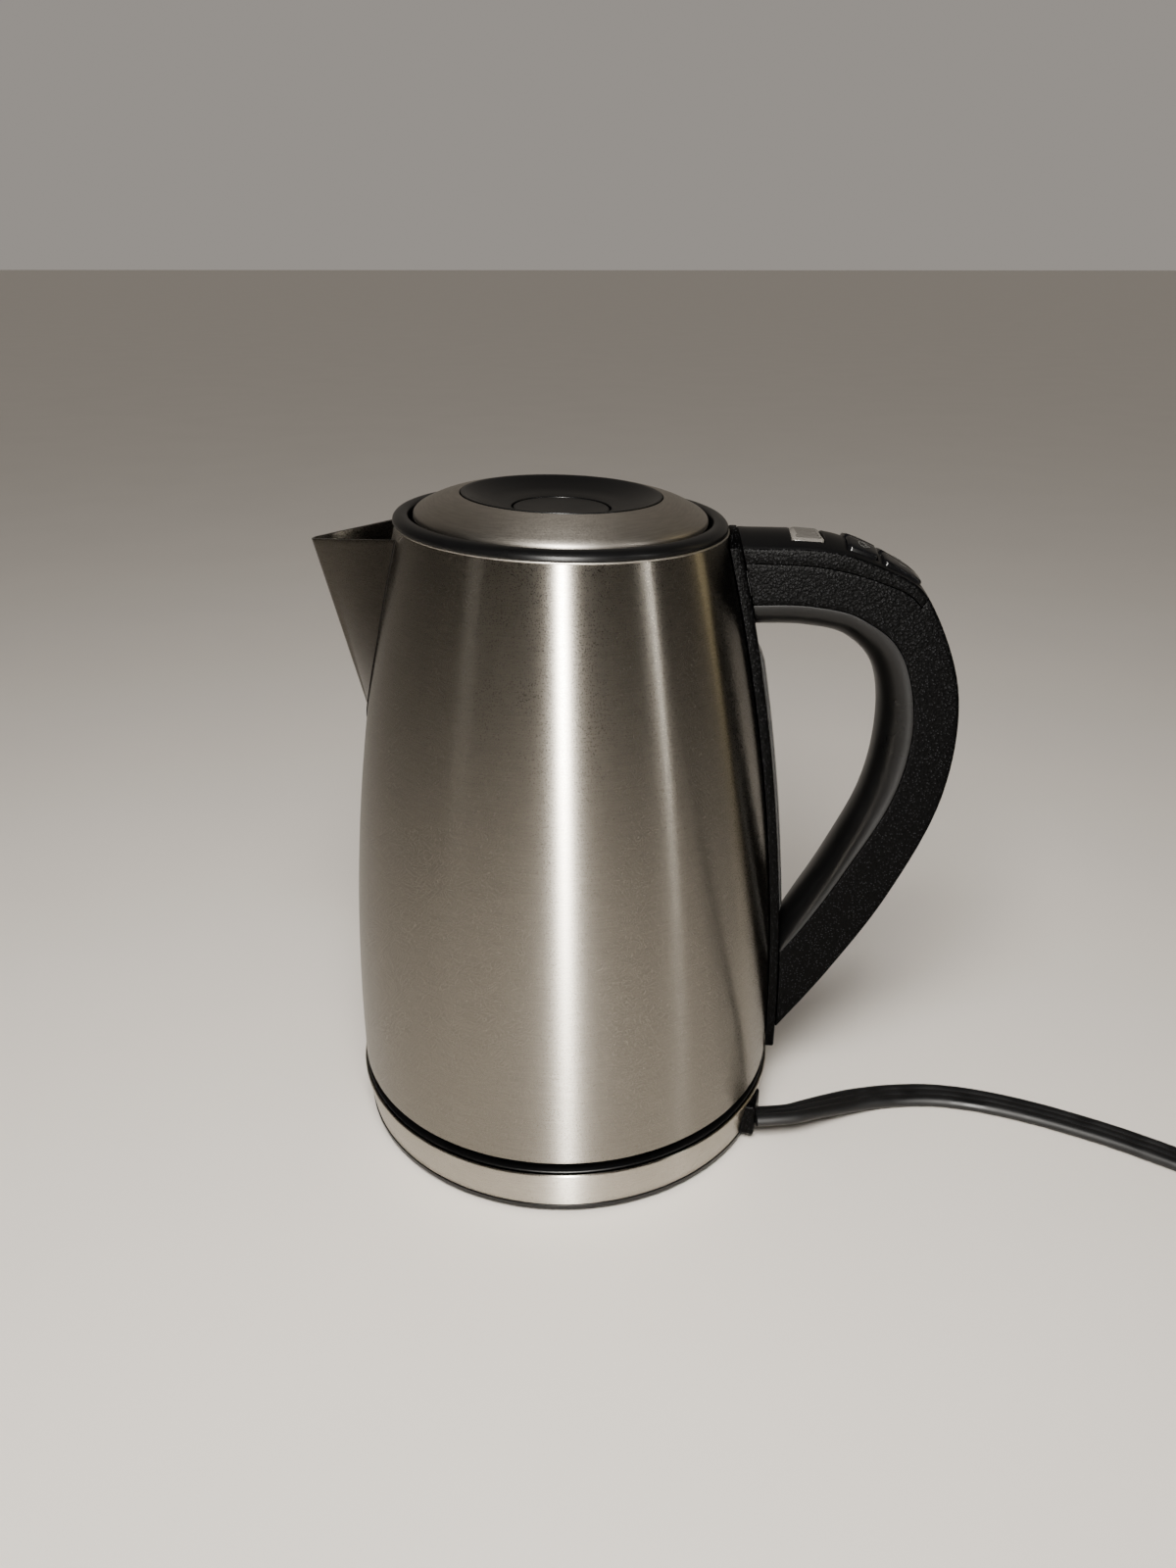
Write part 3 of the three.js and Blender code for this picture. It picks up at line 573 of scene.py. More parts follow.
# ---- Mains cord ----
LIE_Z = 2.3  # height of the cord's middle where it lies on the floor
CORD_Z = 8.0  # height at which it leaves the base
OUTLET_LEAN = 15  # degrees by which the flat cord is tipped at the outlet
CORD_ROUTE = [
    (71.5, -34.7, CORD_Z), (79, -33.7, 8), (85, -32.4, 7.8), (90, -30, 7.3), (96.5, -26.4, 6.2),
    (104, -22.4, 4.9), (111.5, -18.7, 3.7), (119, -15.9, 2.8), (127, -14, LIE_Z),
    (137, -13.1, LIE_Z), (147, -13.5, LIE_Z), (158, -15.4, LIE_Z), (170, -18.8, LIE_Z),
    (184, -24.1, LIE_Z), (203, -33, LIE_Z), (221, -43.4, LIE_Z), (232, -50.3, LIE_Z),
    (243, -57.2, LIE_Z),
]
COIL_CENTRE = (304.2, -30.6)
COIL_R = 55.0
COIL_START, COIL_TURN = -122, 486  # degrees
CLIMB_FROM, CLIMB_TO = 270, 335  # degrees of the turn over which it rises onto itself
CORD_TAIL = [(357.4, 1, 6.6), (356.4, 12, 6.2), (356, 20, 6), (355.7, 30, 6.8), (355.5, 41.7, 8)]


def coil_points(steps=36):
    """One turn on the floor, then up and over its own start."""
    points = []
    for k in range(steps + 1):
        turn = COIL_TURN * k / steps
        a = math.radians(COIL_START + turn)
        climb = smoothstep(turn, CLIMB_FROM, CLIMB_TO)
        height = mix(LIE_Z, LIE_Z + CORD_THICK + 0.2, climb)
        points.append((COIL_CENTRE[0] + COIL_R * math.cos(a),
                       COIL_CENTRE[1] + COIL_R * math.sin(a), height))
    return points


def cord_section():
    """Three cores side by side in one flat sheath, with a shallow groove between them."""
    half = CORD_THICK / 2
    spacing = (CORD_WIDTH - CORD_THICK) / 2
    groove = half * 0.74
    upper = []
    steps = 32
    for k in range(steps + 1):
        x = -CORD_WIDTH / 2 * math.cos(math.pi * k / steps)
        core = min(abs(x - c * spacing) for c in (-1, 0, 1))
        height = math.sqrt(max(0.0, half**2 - core**2))
        upper.append((x, max(height, 0.0 if abs(x) > spacing else groove)))
    lower = [(x, -z) for x, z in reversed(upper[1:-1])]
    return upper + lower


def add_cord():
    """The flat cord, tipped at the outlet and flat from there on; also its path and length."""
    points = CORD_ROUTE + coil_points() + CORD_TAIL
    steps = 520
    path = [spline(points, k / steps) for k in range(steps + 1)]
    section = cord_section()
    rings = []
    for k, centre in enumerate(path):
        ahead = (path[min(k + 1, steps)] - path[max(k - 1, 0)]).normalized()
        across = Vector((0, 0, 1)).cross(ahead).normalized()
        up = ahead.cross(across)
        lean = -math.radians(OUTLET_LEAN) * (1 - smoothstep((centre - path[0]).length, 8, 42))
        side = across * math.cos(lean) + up * math.sin(lean)
        rise = up * math.cos(lean) - across * math.sin(lean)
        rings.append([centre + side * x + rise * z for x, z in section])
    cord = lofted("mains_cord", rings, LOOKS["rubber_black"], sharp=60)
    length = sum((b - a).length for a, b in zip(path, path[1:]))
    return cord, path, length


def rounded_ring(y, centre, width, height, corner=0.34, steps=6):
    """A rounded rectangle across Y; corner is a share of its shorter side."""
    radius = min(width, height) * corner
    ring = []
    for sx, sz, start in ((1, 1, 0), (-1, 1, 1), (-1, -1, 2), (1, -1, 3)):
        for k in range(steps + 1):
            a = (start + k / steps) * math.pi / 2
            ring.append((
                centre[0] + sx * (width / 2 - radius) + radius * math.cos(a),
                y,
                centre[1] + sz * (height / 2 - radius) + radius * math.sin(a),
            ))
    return ring


PLUG_X = 355.5


def add_plug():
    """Moulded plug: ribbed relief, shoulders, grip hollows and a flat front."""
    x = PLUG_X
    rings = []
    for k in range(7):  # ribs of the relief, each with a groove after it
        y = 42.2 + k * 2.3
        height = 8 + 1.6 * k / 6
        width, deep = 12.0 + 0.5 * k, 6.4 + 0.45 * k
        for on, groove in ((0, 0), (1.1, 0), (1.3, 1.2), (2.1, 1.2)):
            rings.append(rounded_ring(y + on, (x, height), width - groove, deep - groove, 0.45))
    for y, z, width, deep in (
        (59, 10.2, 17, 11), (61.5, 11.4, 21.5, 17), (65, 12, 25.2, 21.6), (69, 12, 26.2, 22.6),
        (74, 12, 24.6, 21.6), (80, 12, 23.8, 21.2), (86, 12, 24.6, 21.6), (90, 12, 26.2, 22.6),
        (95.4, 12, 26.3, 22.7), (97.2, 12, 25.4, 21.8), (97.9, 12, 24, 20.4),
    ):
        rings.append(rounded_ring(y, (x, z), width, deep))
    return lofted("plug_moulding", rings, LOOKS["rubber_black"], sharp=40)


def make_cord_and_plug():
    cord, path, length = add_cord()
    plug = add_plug()
    stands_for(plug, "power_base", "rubber_black", "plug_body")
    stands_for(cord, "power_base", "rubber_black", "power_cord", "cord_coil", "cord_tail")


make_cord_and_plug()


# ---- Jug ----
def wall_line(low, high, steps, offset):
    """Points up or down the jug's outer face, moved outwards by the offset."""
    heights = [mix(low, high, k / steps) for k in range(steps + 1)]
    return [(jug_radius(z) + offset, z) for z in heights]


def rim_height(x, below):
    """Height of the slanted rim plane over x, less a distance."""
    return RIM_PLANE_Z - x * math.tan(RIM_TILT) - below


def add_shell():
    """Steel wall with a folded-in foot; its top edge follows the slanted rim plane."""
    top = 230.0  # over the rim, before each line of the wall is shortened to the plane
    fold_r, fold_z = 75.2, 23.0
    outline = [(fold_r, JUG_FOOT_Z), (76.5, JUG_FOOT_Z), (76.88, 22.12), (JUG_FOOT_R, 22.5)]
    outline += wall_line(23.5, top, 60, 0) + wall_line(top, 24.0, 36, -JUG_WALL)
    outline += [(fold_r, fold_z)]
    vertices = []
    for k in range(SEGMENTS):
        a = 2 * math.pi * k / SEGMENTS
        lip = rim_height(JUG_RIM_R * math.cos(a), 1.35)
        for r, z in outline:
            if z > fold_z:
                level = mix(JUG_FOOT_Z, lip, (z - JUG_FOOT_Z) / (top - JUG_FOOT_Z))
                r += jug_radius(level) - jug_radius(z)
                z = level
            vertices.append((r * math.cos(a), r * math.sin(a), z))
    faces = hoop_faces(SEGMENTS, len(outline))
    shell = solid("jug_wall", vertices, faces, LOOKS["brushed_steel"])
    carve(shell, bar("spout_hole", (-80, -13, 172), (-40, 13, 204)))
    round_edges(shell, 0.3, 60, 2)
    stands_for(shell, "jug", "brushed_steel", "jug_shell")


LIP_FOOT_Z, LIP_TIP_Z, LIP_TIP_X = 150.0, 211.7, -81.3
LIP_HALF, LIP_FULL_Z = 20.0, 192.0  # half width, and the height from which it is full
LIP_SLOPE = 0.13  # rise of the top edge from the tip towards the jug


def lip_section(z):
    """One side-to-side line of the pouring lip at a height: wall, flank, nose, flank, wall."""
    foot_x = -jug_radius(LIP_FOOT_Z) + 0.4
    nose_x = mix(foot_x, LIP_TIP_X, (z - LIP_FOOT_Z) / (LIP_TIP_Z - LIP_FOOT_Z))
    low = min(1.0, max(0.0, (LIP_FULL_Z - z) / (LIP_FULL_Z - LIP_FOOT_Z)))
    half = max(0.6, LIP_HALF * math.sqrt(1 - low**2))
    wall_x = -math.sqrt(max(0.0, (jug_radius(z) - 0.3) ** 2 - half**2))
    nose_r = min(3.0, half * 0.5)
    flank = math.atan2(half, max(0.5, wall_x - nose_x))
    sweep = math.pi / 2 - flank * 0.5
    arc = []
    for k in range(-6, 7):
        a = k / 6 * sweep
        arc.append((nose_x + nose_r * (1 - math.cos(a)), nose_r * math.sin(a)))
    first, last = arc[0], arc[-1]
    near = [(mix(wall_x, first[0], k / 8), mix(-half, first[1], k / 8)) for k in range(8)]
    far = [(mix(last[0], wall_x, k / 8), mix(last[1], half, k / 8)) for k in range(1, 9)]
    return near + arc + far


def add_lip():
    """Folded sheet lip with an open, slanted top edge, and dark tubes along its sides that paint the
    shade in the gap at its joints with the wall.
    """
    columns = len(lip_section(LIP_TIP_Z))
    tops = []
    for j in range(columns):
        z = LIP_TIP_Z
        for _ in range(7):  # the line's own x depends on the height that is looked for
            z = LIP_TIP_Z + LIP_SLOPE * (lip_section(z)[j][0] - LIP_TIP_X)
        tops.append(z)
    steps = 44
    foot = LIP_FOOT_Z + 0.6
    rows = []
    for i in range(steps + 1):
        heights = [mix(foot, top, i / steps) for top in tops]
        rows.append([(*lip_section(z)[j], z) for j, z in enumerate(heights)])
    # The lip's darker steel is painted shade.
    lip = sheet_skin("lip_sheet", rows, lambda i, j: True, 1.0, LIP_SHADE_STEEL)
    stands_for(lip, "jug", "brushed_steel", "pouring_lip")
    # Dark tubes along both sides of the lip: painted shade in the gap at its joints with the wall.
    for side, name in ((0, "front"), (-1, "rear")):
        rings = []
        for i in range(steps + 1):
            z = mix(foot, tops[side] - 0.4, i / steps)
            _, y = lip_section(z)[side]
            y += math.copysign(0.15, y)
            x = -math.sqrt((jug_radius(z) + 0.1) ** 2 - y * y)
            rings.append([(x + dx, y + dy, z) for dx, dy in circle(0.3, 8)])
        gap_shade = lofted(f"lip_gap_shade_{name}", rings, LIP_GAP_SHADE)
        stands_for(gap_shade, "jug", "dark_steel")


def add_rim_bead():
    """The edge of the jug wall in a lighter steel: a painted highlight that shows as a thin bright
    line under the collar.
    """
    vertices = []
    for k in range(SEGMENTS):
        a = 2 * math.pi * k / SEGMENTS
        level = rim_height(JUG_RIM_R * math.cos(a), 1.5)
        vertices += wire_ring(jug_radius(level) - 0.05, a, level, 0.35)
    faces = hoop_faces(SEGMENTS, len(vertices) // SEGMENTS)
    bead = solid("rim_bead", vertices, faces, BEAD_HIGHLIGHT_STEEL)
    stands_for(bead, "jug", "brushed_steel")


def add_jug_rings():
    """The black rim collar, the bead under it and the cover over the jug's underside."""
    collar = rounded([
        (53.35, -1.0), (53.3, 0.2), (52.3, 1.4), (50.6, 1.95), (48.7, 1.6), (48.25, 0.6),
        (48.25, -14), (49.8, -14), (49.8, -1.0),
    ], [0.3, 0.9, 1.0, 1.2, 0.8, 0.6, 0.3, 0.3, 0.1])
    stands_for(turned("rim_collar", collar, LOOKS["satin_black"], TILTED),
               "jug", "satin_black", "collar")
    add_rim_bead()
    cover = rounded([
        (17, 19.1), (73.6, 19.1), (74.8, 20.2), (74.8, 28), (73.2, 28), (73.2, 20.8), (17, 20.8),
    ], [0.4, 1.2, 1.2, 0.4, 0.4, 0.4, 0.4])
    stands_for(turned("floor_cover", cover, LOOKS["satin_black"]),
               "jug", "satin_black", "jug_floor_cover")


add_shell()
add_lip()
add_jug_rings()


def add_post(name, body, place, radius, low, high):
    """A hollow post that a screw is driven into."""
    outline = rounded([(1.8, low), (radius, low), (radius, high), (1.8, high)], 0.3)
    post = turned(name, outline, LOOKS["satin_black"], place, 32)
    stands_for(post, body, "satin_black")


# ---- Lid ----
def add_lid():
    """Steel dome, concave black dish with its screw posts, and the round push disc."""
    dome = rounded([
        (46.2, -0.2), (46.8, 0.3), (46.8, 1.9), (45.6, 3.2), (41, 5.6), (36.5, 7.1), (32.3, 7.9),
        (32.15, 7.1), (36, 6.2), (40.6, 4.7), (44.9, 2.5), (46.1, 1.4),
    ], [0.2, 0.4, 0.9, 2.0, 3.0, 2.5, 0.2, 0.2, 2.5, 2.5, 1.2, 0.4])
    stands_for(turned("lid_cap", dome, LID_STEEL, TILTED),
               "lid", "brushed_steel", "lid_dome")
    dish = rounded([
        (31.85, 7.4), (31.85, 8.15), (30.8, 8.1), (27, 6.4), (22, 4.6), (15.9, 3.7),
        (15.9, 0.8), (17.5, 0.8), (17.5, 2.2), (22, 3.0), (27, 4.8), (31.2, 6.6),
    ], [0.1, 0.3, 0.9, 3, 3, 0.35, 0.2, 0.2, 0.5, 2, 2, 0.5])
    ring = turned("dish_ring", dish, LOOKS["satin_black"], TILTED)
    stands_for(ring, "lid", "satin_black", "lid_dish")
    for k in range(3):
        a = 2 * math.pi * k / 3
        place = TILTED @ Matrix.Translation((26 * math.cos(a), 26 * math.sin(a), 0))
        add_post(f"screw_post_{k + 1}", "lid", place, 3.4, -10.9, 3.6)
    button = rounded([
        (0, -7.5), (3.9, -7.5), (3.9, 2.2), (14.6, 2.2), (15.4, 2.5), (15.4, 3.25),
        (14.9, 3.6), (8, 3.4), (0, 3.3),
    ], [0, 0.4, 0.4, 0.4, 0.2, 0.3, 0.4, 3, 0])
    stands_for(turned("push_disc", button, LOOKS["satin_black"], TILTED),
               "lid_button", "satin_black", "lid_button")


SPRING_R, SPRING_WIRE = 6.2, 0.6
SPRING_FROM, SPRING_TO = -4.0, 1.2
SPRING_TURNS = 4


def add_spring():
    """The coil spring under the push disc, given a mesh of its own."""
    per_turn = 32
    last = SPRING_TURNS * per_turn
    rings = []
    for k in range(last + 1):
        level = mix(SPRING_FROM, SPRING_TO, k / last)
        rings.append(wire_ring(SPRING_R, 2 * math.pi * k / per_turn, level, SPRING_WIRE))
    spring = lofted("disc_spring", rings, LOOKS["dark_steel"], TILTED, 60)
    stands_for(spring, "lid", "dark_steel", "lid_spring")
    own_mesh(spring)


add_lid()
add_spring()


# ---- Handle ----
CROWN_LINE = [
    (58.2, 216.4), (84, 215.2), (103.8, 207.5), (118, 195.8), (130.6, 165), (129.8, 128),
    (116, 90), (97.6, 57), (80.2, 31.2),
]
INNER_LINE = [
    (64, 185.8), (79, 185.6), (93, 182.2), (103.3, 171), (106.4, 151), (103.2, 126.5),
    (93.2, 101.5), (83, 81), (78.5, 70.5),
]


def crown_arch(u):
    """How far the crown's edges lie under its middle line."""
    return 4 - 3.3 * smoothstep(u, 0.04, 0.38)


def band_depth(u):
    """How far the smooth inner band reaches up the handle's sides."""
    return 8.6 + 2.8 * smoothstep(u, 0.25, 0.42) - 5 * smoothstep(u, 0.5, 0.78)


def station(u):
    """Crown and inner points, the unit vector between them and their distance.

    Past either end the station is moved straight on.
    """
    t = min(1.0, max(0.0, u))
    crown, inner = spline(CROWN_LINE, t), spline(INNER_LINE, t)
    if u != t:
        step = 1e-3 if t == 0 else -1e-3
        for line, at in ((CROWN_LINE, crown), (INNER_LINE, inner)):
            ahead = (spline(line, t + step) - spline(line, t)).normalized()
            at += ahead * (u - t) * 100 * (1 if t == 0 else -1)
    span = crown - inner
    return crown, inner, span.normalized(), span.length


def crown_point(u, y, height):
    """A point over the arched crown: y across the handle, height above its surface."""
    crown, _, out, _ = station(u)
    at = crown + out * (height - crown_arch(u) * (y / HANDLE_HALF) ** 2)
    return Vector((at.x, y, at.y))


def u_at(origin, along):
    """Where on the handle a distance along the crown from a station ends."""
    low, high = origin - 0.2, origin + 0.2
    base = spline(CROWN_LINE, origin)
    ahead = (spline(CROWN_LINE, origin + 1e-3) - spline(CROWN_LINE, origin - 1e-3)).normalized()
    for _ in range(40):
        middle = (low + high) / 2
        if (spline(CROWN_LINE, middle) - base).dot(ahead) < along:
            low = middle
        else:
            high = middle
    return (low + high) / 2


def bracket_crossing(section, column, inside, outside):
    """Where one line of the handle's skin meets the bracket's outer face."""
    for _ in range(30):
        middle = (inside + outside) / 2
        x, _, z = section(middle)[column]
        if x > jug_radius(min(z, JUG_RIM_Z)) + BRACKET_DEPTH + GAP:
            inside = middle
        else:
            outside = middle
    return section(inside)[column]


def handle_rows(section, stations, both_ends=True):
    """Rows of points along the handle, the first and last run out to the bracket."""
    rows = [section(u) for u in stations]
    columns = range(len(rows[0]))
    rows.insert(0, [bracket_crossing(section, j, stations[0], -0.05) for j in columns])
    if both_ends:
        rows.append([bracket_crossing(section, j, stations[-1], 1.05) for j in columns])
    return rows


def placed(base, out, along, y):
    """A point of the handle's skin: a distance along the vector, y across the handle."""
    at = base + out * along
    return (at.x, y, at.y)


def band_section(u):
    """The smooth inner band, from one side over the inside of the grip to the other."""
    _, inner, out, _ = station(u)
    depth = band_depth(u)
    points = []
    for k in range(-16, 17):
        a = k / 16 * math.pi / 2
        points.append(placed(inner, out, depth * (1 - math.cos(a)), HANDLE_HALF * math.sin(a)))
    return points


DISPLAY_HALF = 8.3  # half the width of the display's opening
KEYS_HALF = BUTTON_WIDTH + 0.8  # half the width of the opening for a row of keys
KEYS_APART = 0.2  # half the bar between two keys
CROWN_YS = [11.2, 10.2, KEYS_HALF, DISPLAY_HALF, 7, 5.6, 4.2, 2.8, 1.4, KEYS_APART]
SIDE_STEPS = 7
FIRST_STATION, LAST_STATION, STATIONS = 0.012, 0.965, 76
MM_ALONG = 0.005  # one millimetre as a rough share of the handle's length


def cover_depth(u):
    """Depth of the top cover's sides, which grow shallower towards the keys."""
    return mix(COVER_DEPTH, COVER_TIP_DEPTH, smoothstep(u, 0.1, COVER_END))


def outer_section(u):
    """Side, crown and other side, in the order near side up, across and down."""
    crown, inner, out, height = station(u)
    seam_low = band_depth(u) + GAP
    seam_high = height - cover_depth(u) - GAP
    edge = height - crown_arch(u)
    side = [mix(seam_low, seam_high, k / SIDE_STEPS) for k in range(SIDE_STEPS + 1)]
    side += [seam_high + GAP, mix(seam_high + GAP, edge - 1.0, 0.5), edge - 1.0]
    near = [placed(inner, out, s, -HANDLE_HALF) for s in side]
    near += [placed(inner, out, edge - 0.42, -HANDLE_HALF + 0.06)]
    near += [placed(inner, out, edge + 0.02, -HANDLE_HALF + 0.38)]
    arch = crown_arch(u)
    top = [placed(crown, out, -arch * (y / HANDLE_HALF) ** 2, -y) for y in CROWN_YS]
    mirror = [(x, -y, z) for x, y, z in reversed(near + top)]
    return near + top + mirror


SEAM_LOW_COLUMN = SIDE_STEPS  # last column of the side shell under the top cover
SEAM_HIGH_COLUMN = SIDE_STEPS + 1  # first column of the top cover


def hole_lines():
    """Stations of the edges of the display's and the keys' openings."""
    display = (u_at(DISPLAY_AT, -5.5), u_at(DISPLAY_AT, 5.5))
    rows = {}
    for name, (at, length) in BUTTON_ROWS.items():
        rows[name] = (u_at(at, -length / 2 - GAP), u_at(at, length / 2 + GAP))
    return display, rows


def handle_stations(extra=()):
    """Even stations along the handle and the extra ones, none of them crowded together."""
    regular = [mix(FIRST_STATION, LAST_STATION, k / STATIONS) for k in range(STATIONS + 1)]
    kept = [u for u in regular if all(abs(u - e) > 0.004 for e in extra)]
    return sorted(kept + list(extra))


def add_handle_skins():
    """Side shell, smooth inner band and top cover with its openings."""
    display, rows = hole_lines()
    edges = [*display, *rows["front"], *rows["rear"], COVER_END]
    shell_start = COVER_END + GAP * MM_ALONG
    stations = handle_stations([COVER_END, shell_start])
    grid = handle_rows(outer_section, stations)
    last = len(grid[0]) - 2

    def in_crown(j):
        return SEAM_LOW_COLUMN <= j <= last - SEAM_LOW_COLUMN

    def shell_face(i, j):
        return not in_crown(j) or (i > 0 and i - 1 >= stations.index(shell_start))

    shell = sheet_skin("handle_sides", grid, shell_face, HANDLE_WALL, LOOKS["textured_black"])
    stands_for(shell, "jug", "textured_black", "handle_shell")

    rows_inside = [row[::-1] for row in handle_rows(band_section, handle_stations())]
    band = sheet_skin("grip_band", rows_inside, lambda i, j: True, HANDLE_WALL,
                      LOOKS["satin_black"])
    stands_for(band, "jug", "satin_black", "handle_inner_band")

    stations = [u for u in handle_stations(edges) if u <= COVER_END + 1e-6]
    grid = handle_rows(outer_section, stations, both_ends=False)
    first, final = SEAM_HIGH_COLUMN, last - SEAM_HIGH_COLUMN
    across = [y for _, y, _ in grid[1]]

    def cover_face(i, j):
        if not first <= j <= final:
            return False
        y = (across[j] + across[j + 1]) / 2
        u = (stations[max(i - 1, 0)] + stations[i]) / 2 if i > 0 else 0
        if display[0] < u < display[1] and abs(y) < DISPLAY_HALF:
            return False
        in_row = any(low < u < high for low, high in rows.values())
        return not (in_row and KEYS_APART < abs(y) < KEYS_HALF)

    cover = sheet_skin("top_cover", grid, cover_face, 1.8, LOOKS["satin_black"])
    cover.data.materials.append(LOOKS["textured_black"])
    for face in cover.data.polygons:
        if abs(face.center.y) > (HANDLE_HALF - 0.3) * MM:
            face.material_index = 1
    stands_for(cover, "jug", "satin_black", "handle_top_cover")


def pad(name, origin, length, y_low, y_high, rise, depth, corner, material, body, slot, *nodes):
    """A key or lens: a rounded rectangle that follows the crown, domed at its edge."""
    steps = 6
    middle = (y_low + y_high) / 2
    half_a, half_b = length / 2, (y_high - y_low) / 2

    def outline(shrink):
        a, b = half_a - shrink, half_b - shrink
        c = max(corner - shrink, 0.25)
        points = []
        for sa, sb, start in ((1, 1, 0), (-1, 1, 1), (-1, -1, 2), (1, -1, 3)):
            for k in range(steps + 1):
                t = (start + k / steps) * math.pi / 2
                points.append((sa * (a - c) + c * math.cos(t), sb * (b - c) + c * math.sin(t)))
        return points

    def ring(points, height):
        return [crown_point(u_at(origin, a), middle + b, height) for a, b in points]

    levels = [(0, -depth), (0, rise - 0.45), (0.12, rise - 0.18), (0.4, rise)]
    rings = [ring(outline(shrink), height) for shrink, height in levels]
    rim = outline(0.4)
    for share in (0.8, 0.6, 0.4, 0.2):
        rings.append(ring([(a * share, b * share) for a, b in rim], rise))
    piece = lofted(name, rings, material, sharp=50)
    stands_for(piece, body, slot, *nodes)
    return piece


BOX_FACES = [*loop_faces(2, 4), (3, 2, 1, 0), (4, 5, 6, 7)]


def mark(name, strokes, origin, middle, rise, body):
    """A thin printed sign made of flat strokes: lists of (along, across) points."""
    vertices, faces = [], []
    for stroke, width in strokes:
        for start, end in zip(stroke, stroke[1:]):
            run = Vector(end) - Vector(start)
            side = Vector((-run.y, run.x)).normalized() * width / 2
            faces += [tuple(len(vertices) + corner for corner in face) for face in BOX_FACES]
            for a, b in (start, end):
                for s, lift in ((1, 0.05), (-1, 0.05), (-1, -0.1), (1, -0.1)):
                    u = u_at(origin, a + side.x * s)
                    vertices.append(crown_point(u, middle + b + side.y * s, rise + lift))
    sign = solid(name, vertices, faces, ICON_GREY)
    stands_for(sign, body, "display_silver")


def arc_points(radius, start, end, steps=14):
    """Points of an arc round the origin, from one angle in degrees to another."""
    angles = [math.radians(mix(start, end, k / steps)) for k in range(steps + 1)]
    return [(radius * math.cos(a), radius * math.sin(a)) for a in angles]


# Generic signs of the keys: strokes of (along, across) points in millimetres, each with its width.
SIGNS = {
    "button_front_left": [(arc_points(1.7, 40, 320), 0.35), ([(0.4, 0), (2.3, 0)], 0.35)],
    "button_front_right": [([(-1.4, 0), (1.4, 0)], 0.4), ([(0, -1.4), (0, 1.4)], 0.4)],
    "button_rear_left": [([(-1.5, 0), (1.5, 0)], 0.4)],
    "button_rear_right": [(arc_points(1.3, 0, 360, 20), 0.35)],
}


def add_keys_and_display():
    """Four keys with their signs, and the display's lens in its bezel."""
    for row, (at, length) in BUTTON_ROWS.items():
        for side, sign in (("left", -1), ("right", 1)):
            name = f"button_{row}_{side}"
            y = sorted((sign * 0.5, sign * (0.5 + BUTTON_WIDTH)))
            pad(f"key_{row}_{side}", at, length, *y, BUTTON_RISE, BUTTON_DEPTH, 1.5,
                LOOKS["gloss_black"], name, "gloss_black", name)
            mark(f"sign_{row}_{side}", SIGNS[name], at, sum(y) / 2, BUTTON_RISE, name)
    pad("display_bezel", DISPLAY_AT, 10.4, -8, 8, 0.12, 2.9, 1.2,
        LOOKS["display_silver"], "jug", "display_silver", "display_lens")
    pad("display_glass", DISPLAY_AT, 8.6, -6.9, 6.9, 0.26, 0.3, 0.8,
        INNER_GREY, "jug", "display_silver")


BRACKET_FOOT_Z, BRACKET_TOP_Z = 22.7, 216.8188
BRACKET_YS = [-12, -11.7, -10.8, -9, -7, -4.6, -2.3, 0, 2.3, 4.6, 7, 9, 10.8, 11.7, 12]
CUT_BACK = {12: 1.0, 11.7: 0.3}  # rounds the outer corners
COLLAR_CLEAR_R = 53.7


def bracket_ring(height):
    """One level loop of the bracket, its inner side on the jug wall or the collar."""
    outer, inner = [], []
    for y in BRACKET_YS:
        top = BRACKET_TOP_Z - 4 * (y / HANDLE_HALF) ** 2
        z = mix(BRACKET_FOOT_Z, top, height)
        if abs(y) > 11.5 and height > 0.985:
            z = min(z, top - 0.5)
        wall_r = jug_radius(min(z, JUG_RIM_Z))
        back = math.sqrt(max(0.0, (wall_r + GAP) ** 2 - y * y))
        if z > 212:
            back = max(back, math.sqrt(COLLAR_CLEAR_R**2 - y * y) + 0.03 * (z - 200))
        face = wall_r + BRACKET_DEPTH - CUT_BACK.get(abs(y), 0.0)
        outer.append((max(face, back + 0.4), y, z))
        inner.append((back, y, z))
    return outer + inner[::-1]


GAUGE_LOW, GAUGE_HIGH, GAUGE_HALF = 76.0, 178.0, 6.5
BOSSES = [  # corners of the block, place of its screw hole, ends of the hole
    ((57, -8, 196), (74, 8, 205), Matrix.Translation((69.5, 0, 0)), (180, 204)),
    ((79, -7, 47), (85.5, 7, 63),
     Matrix.Translation((90.2, 0, 43.4)) @ Matrix.Rotation(-0.5, 4, "Y"), (-4, 14)),
]


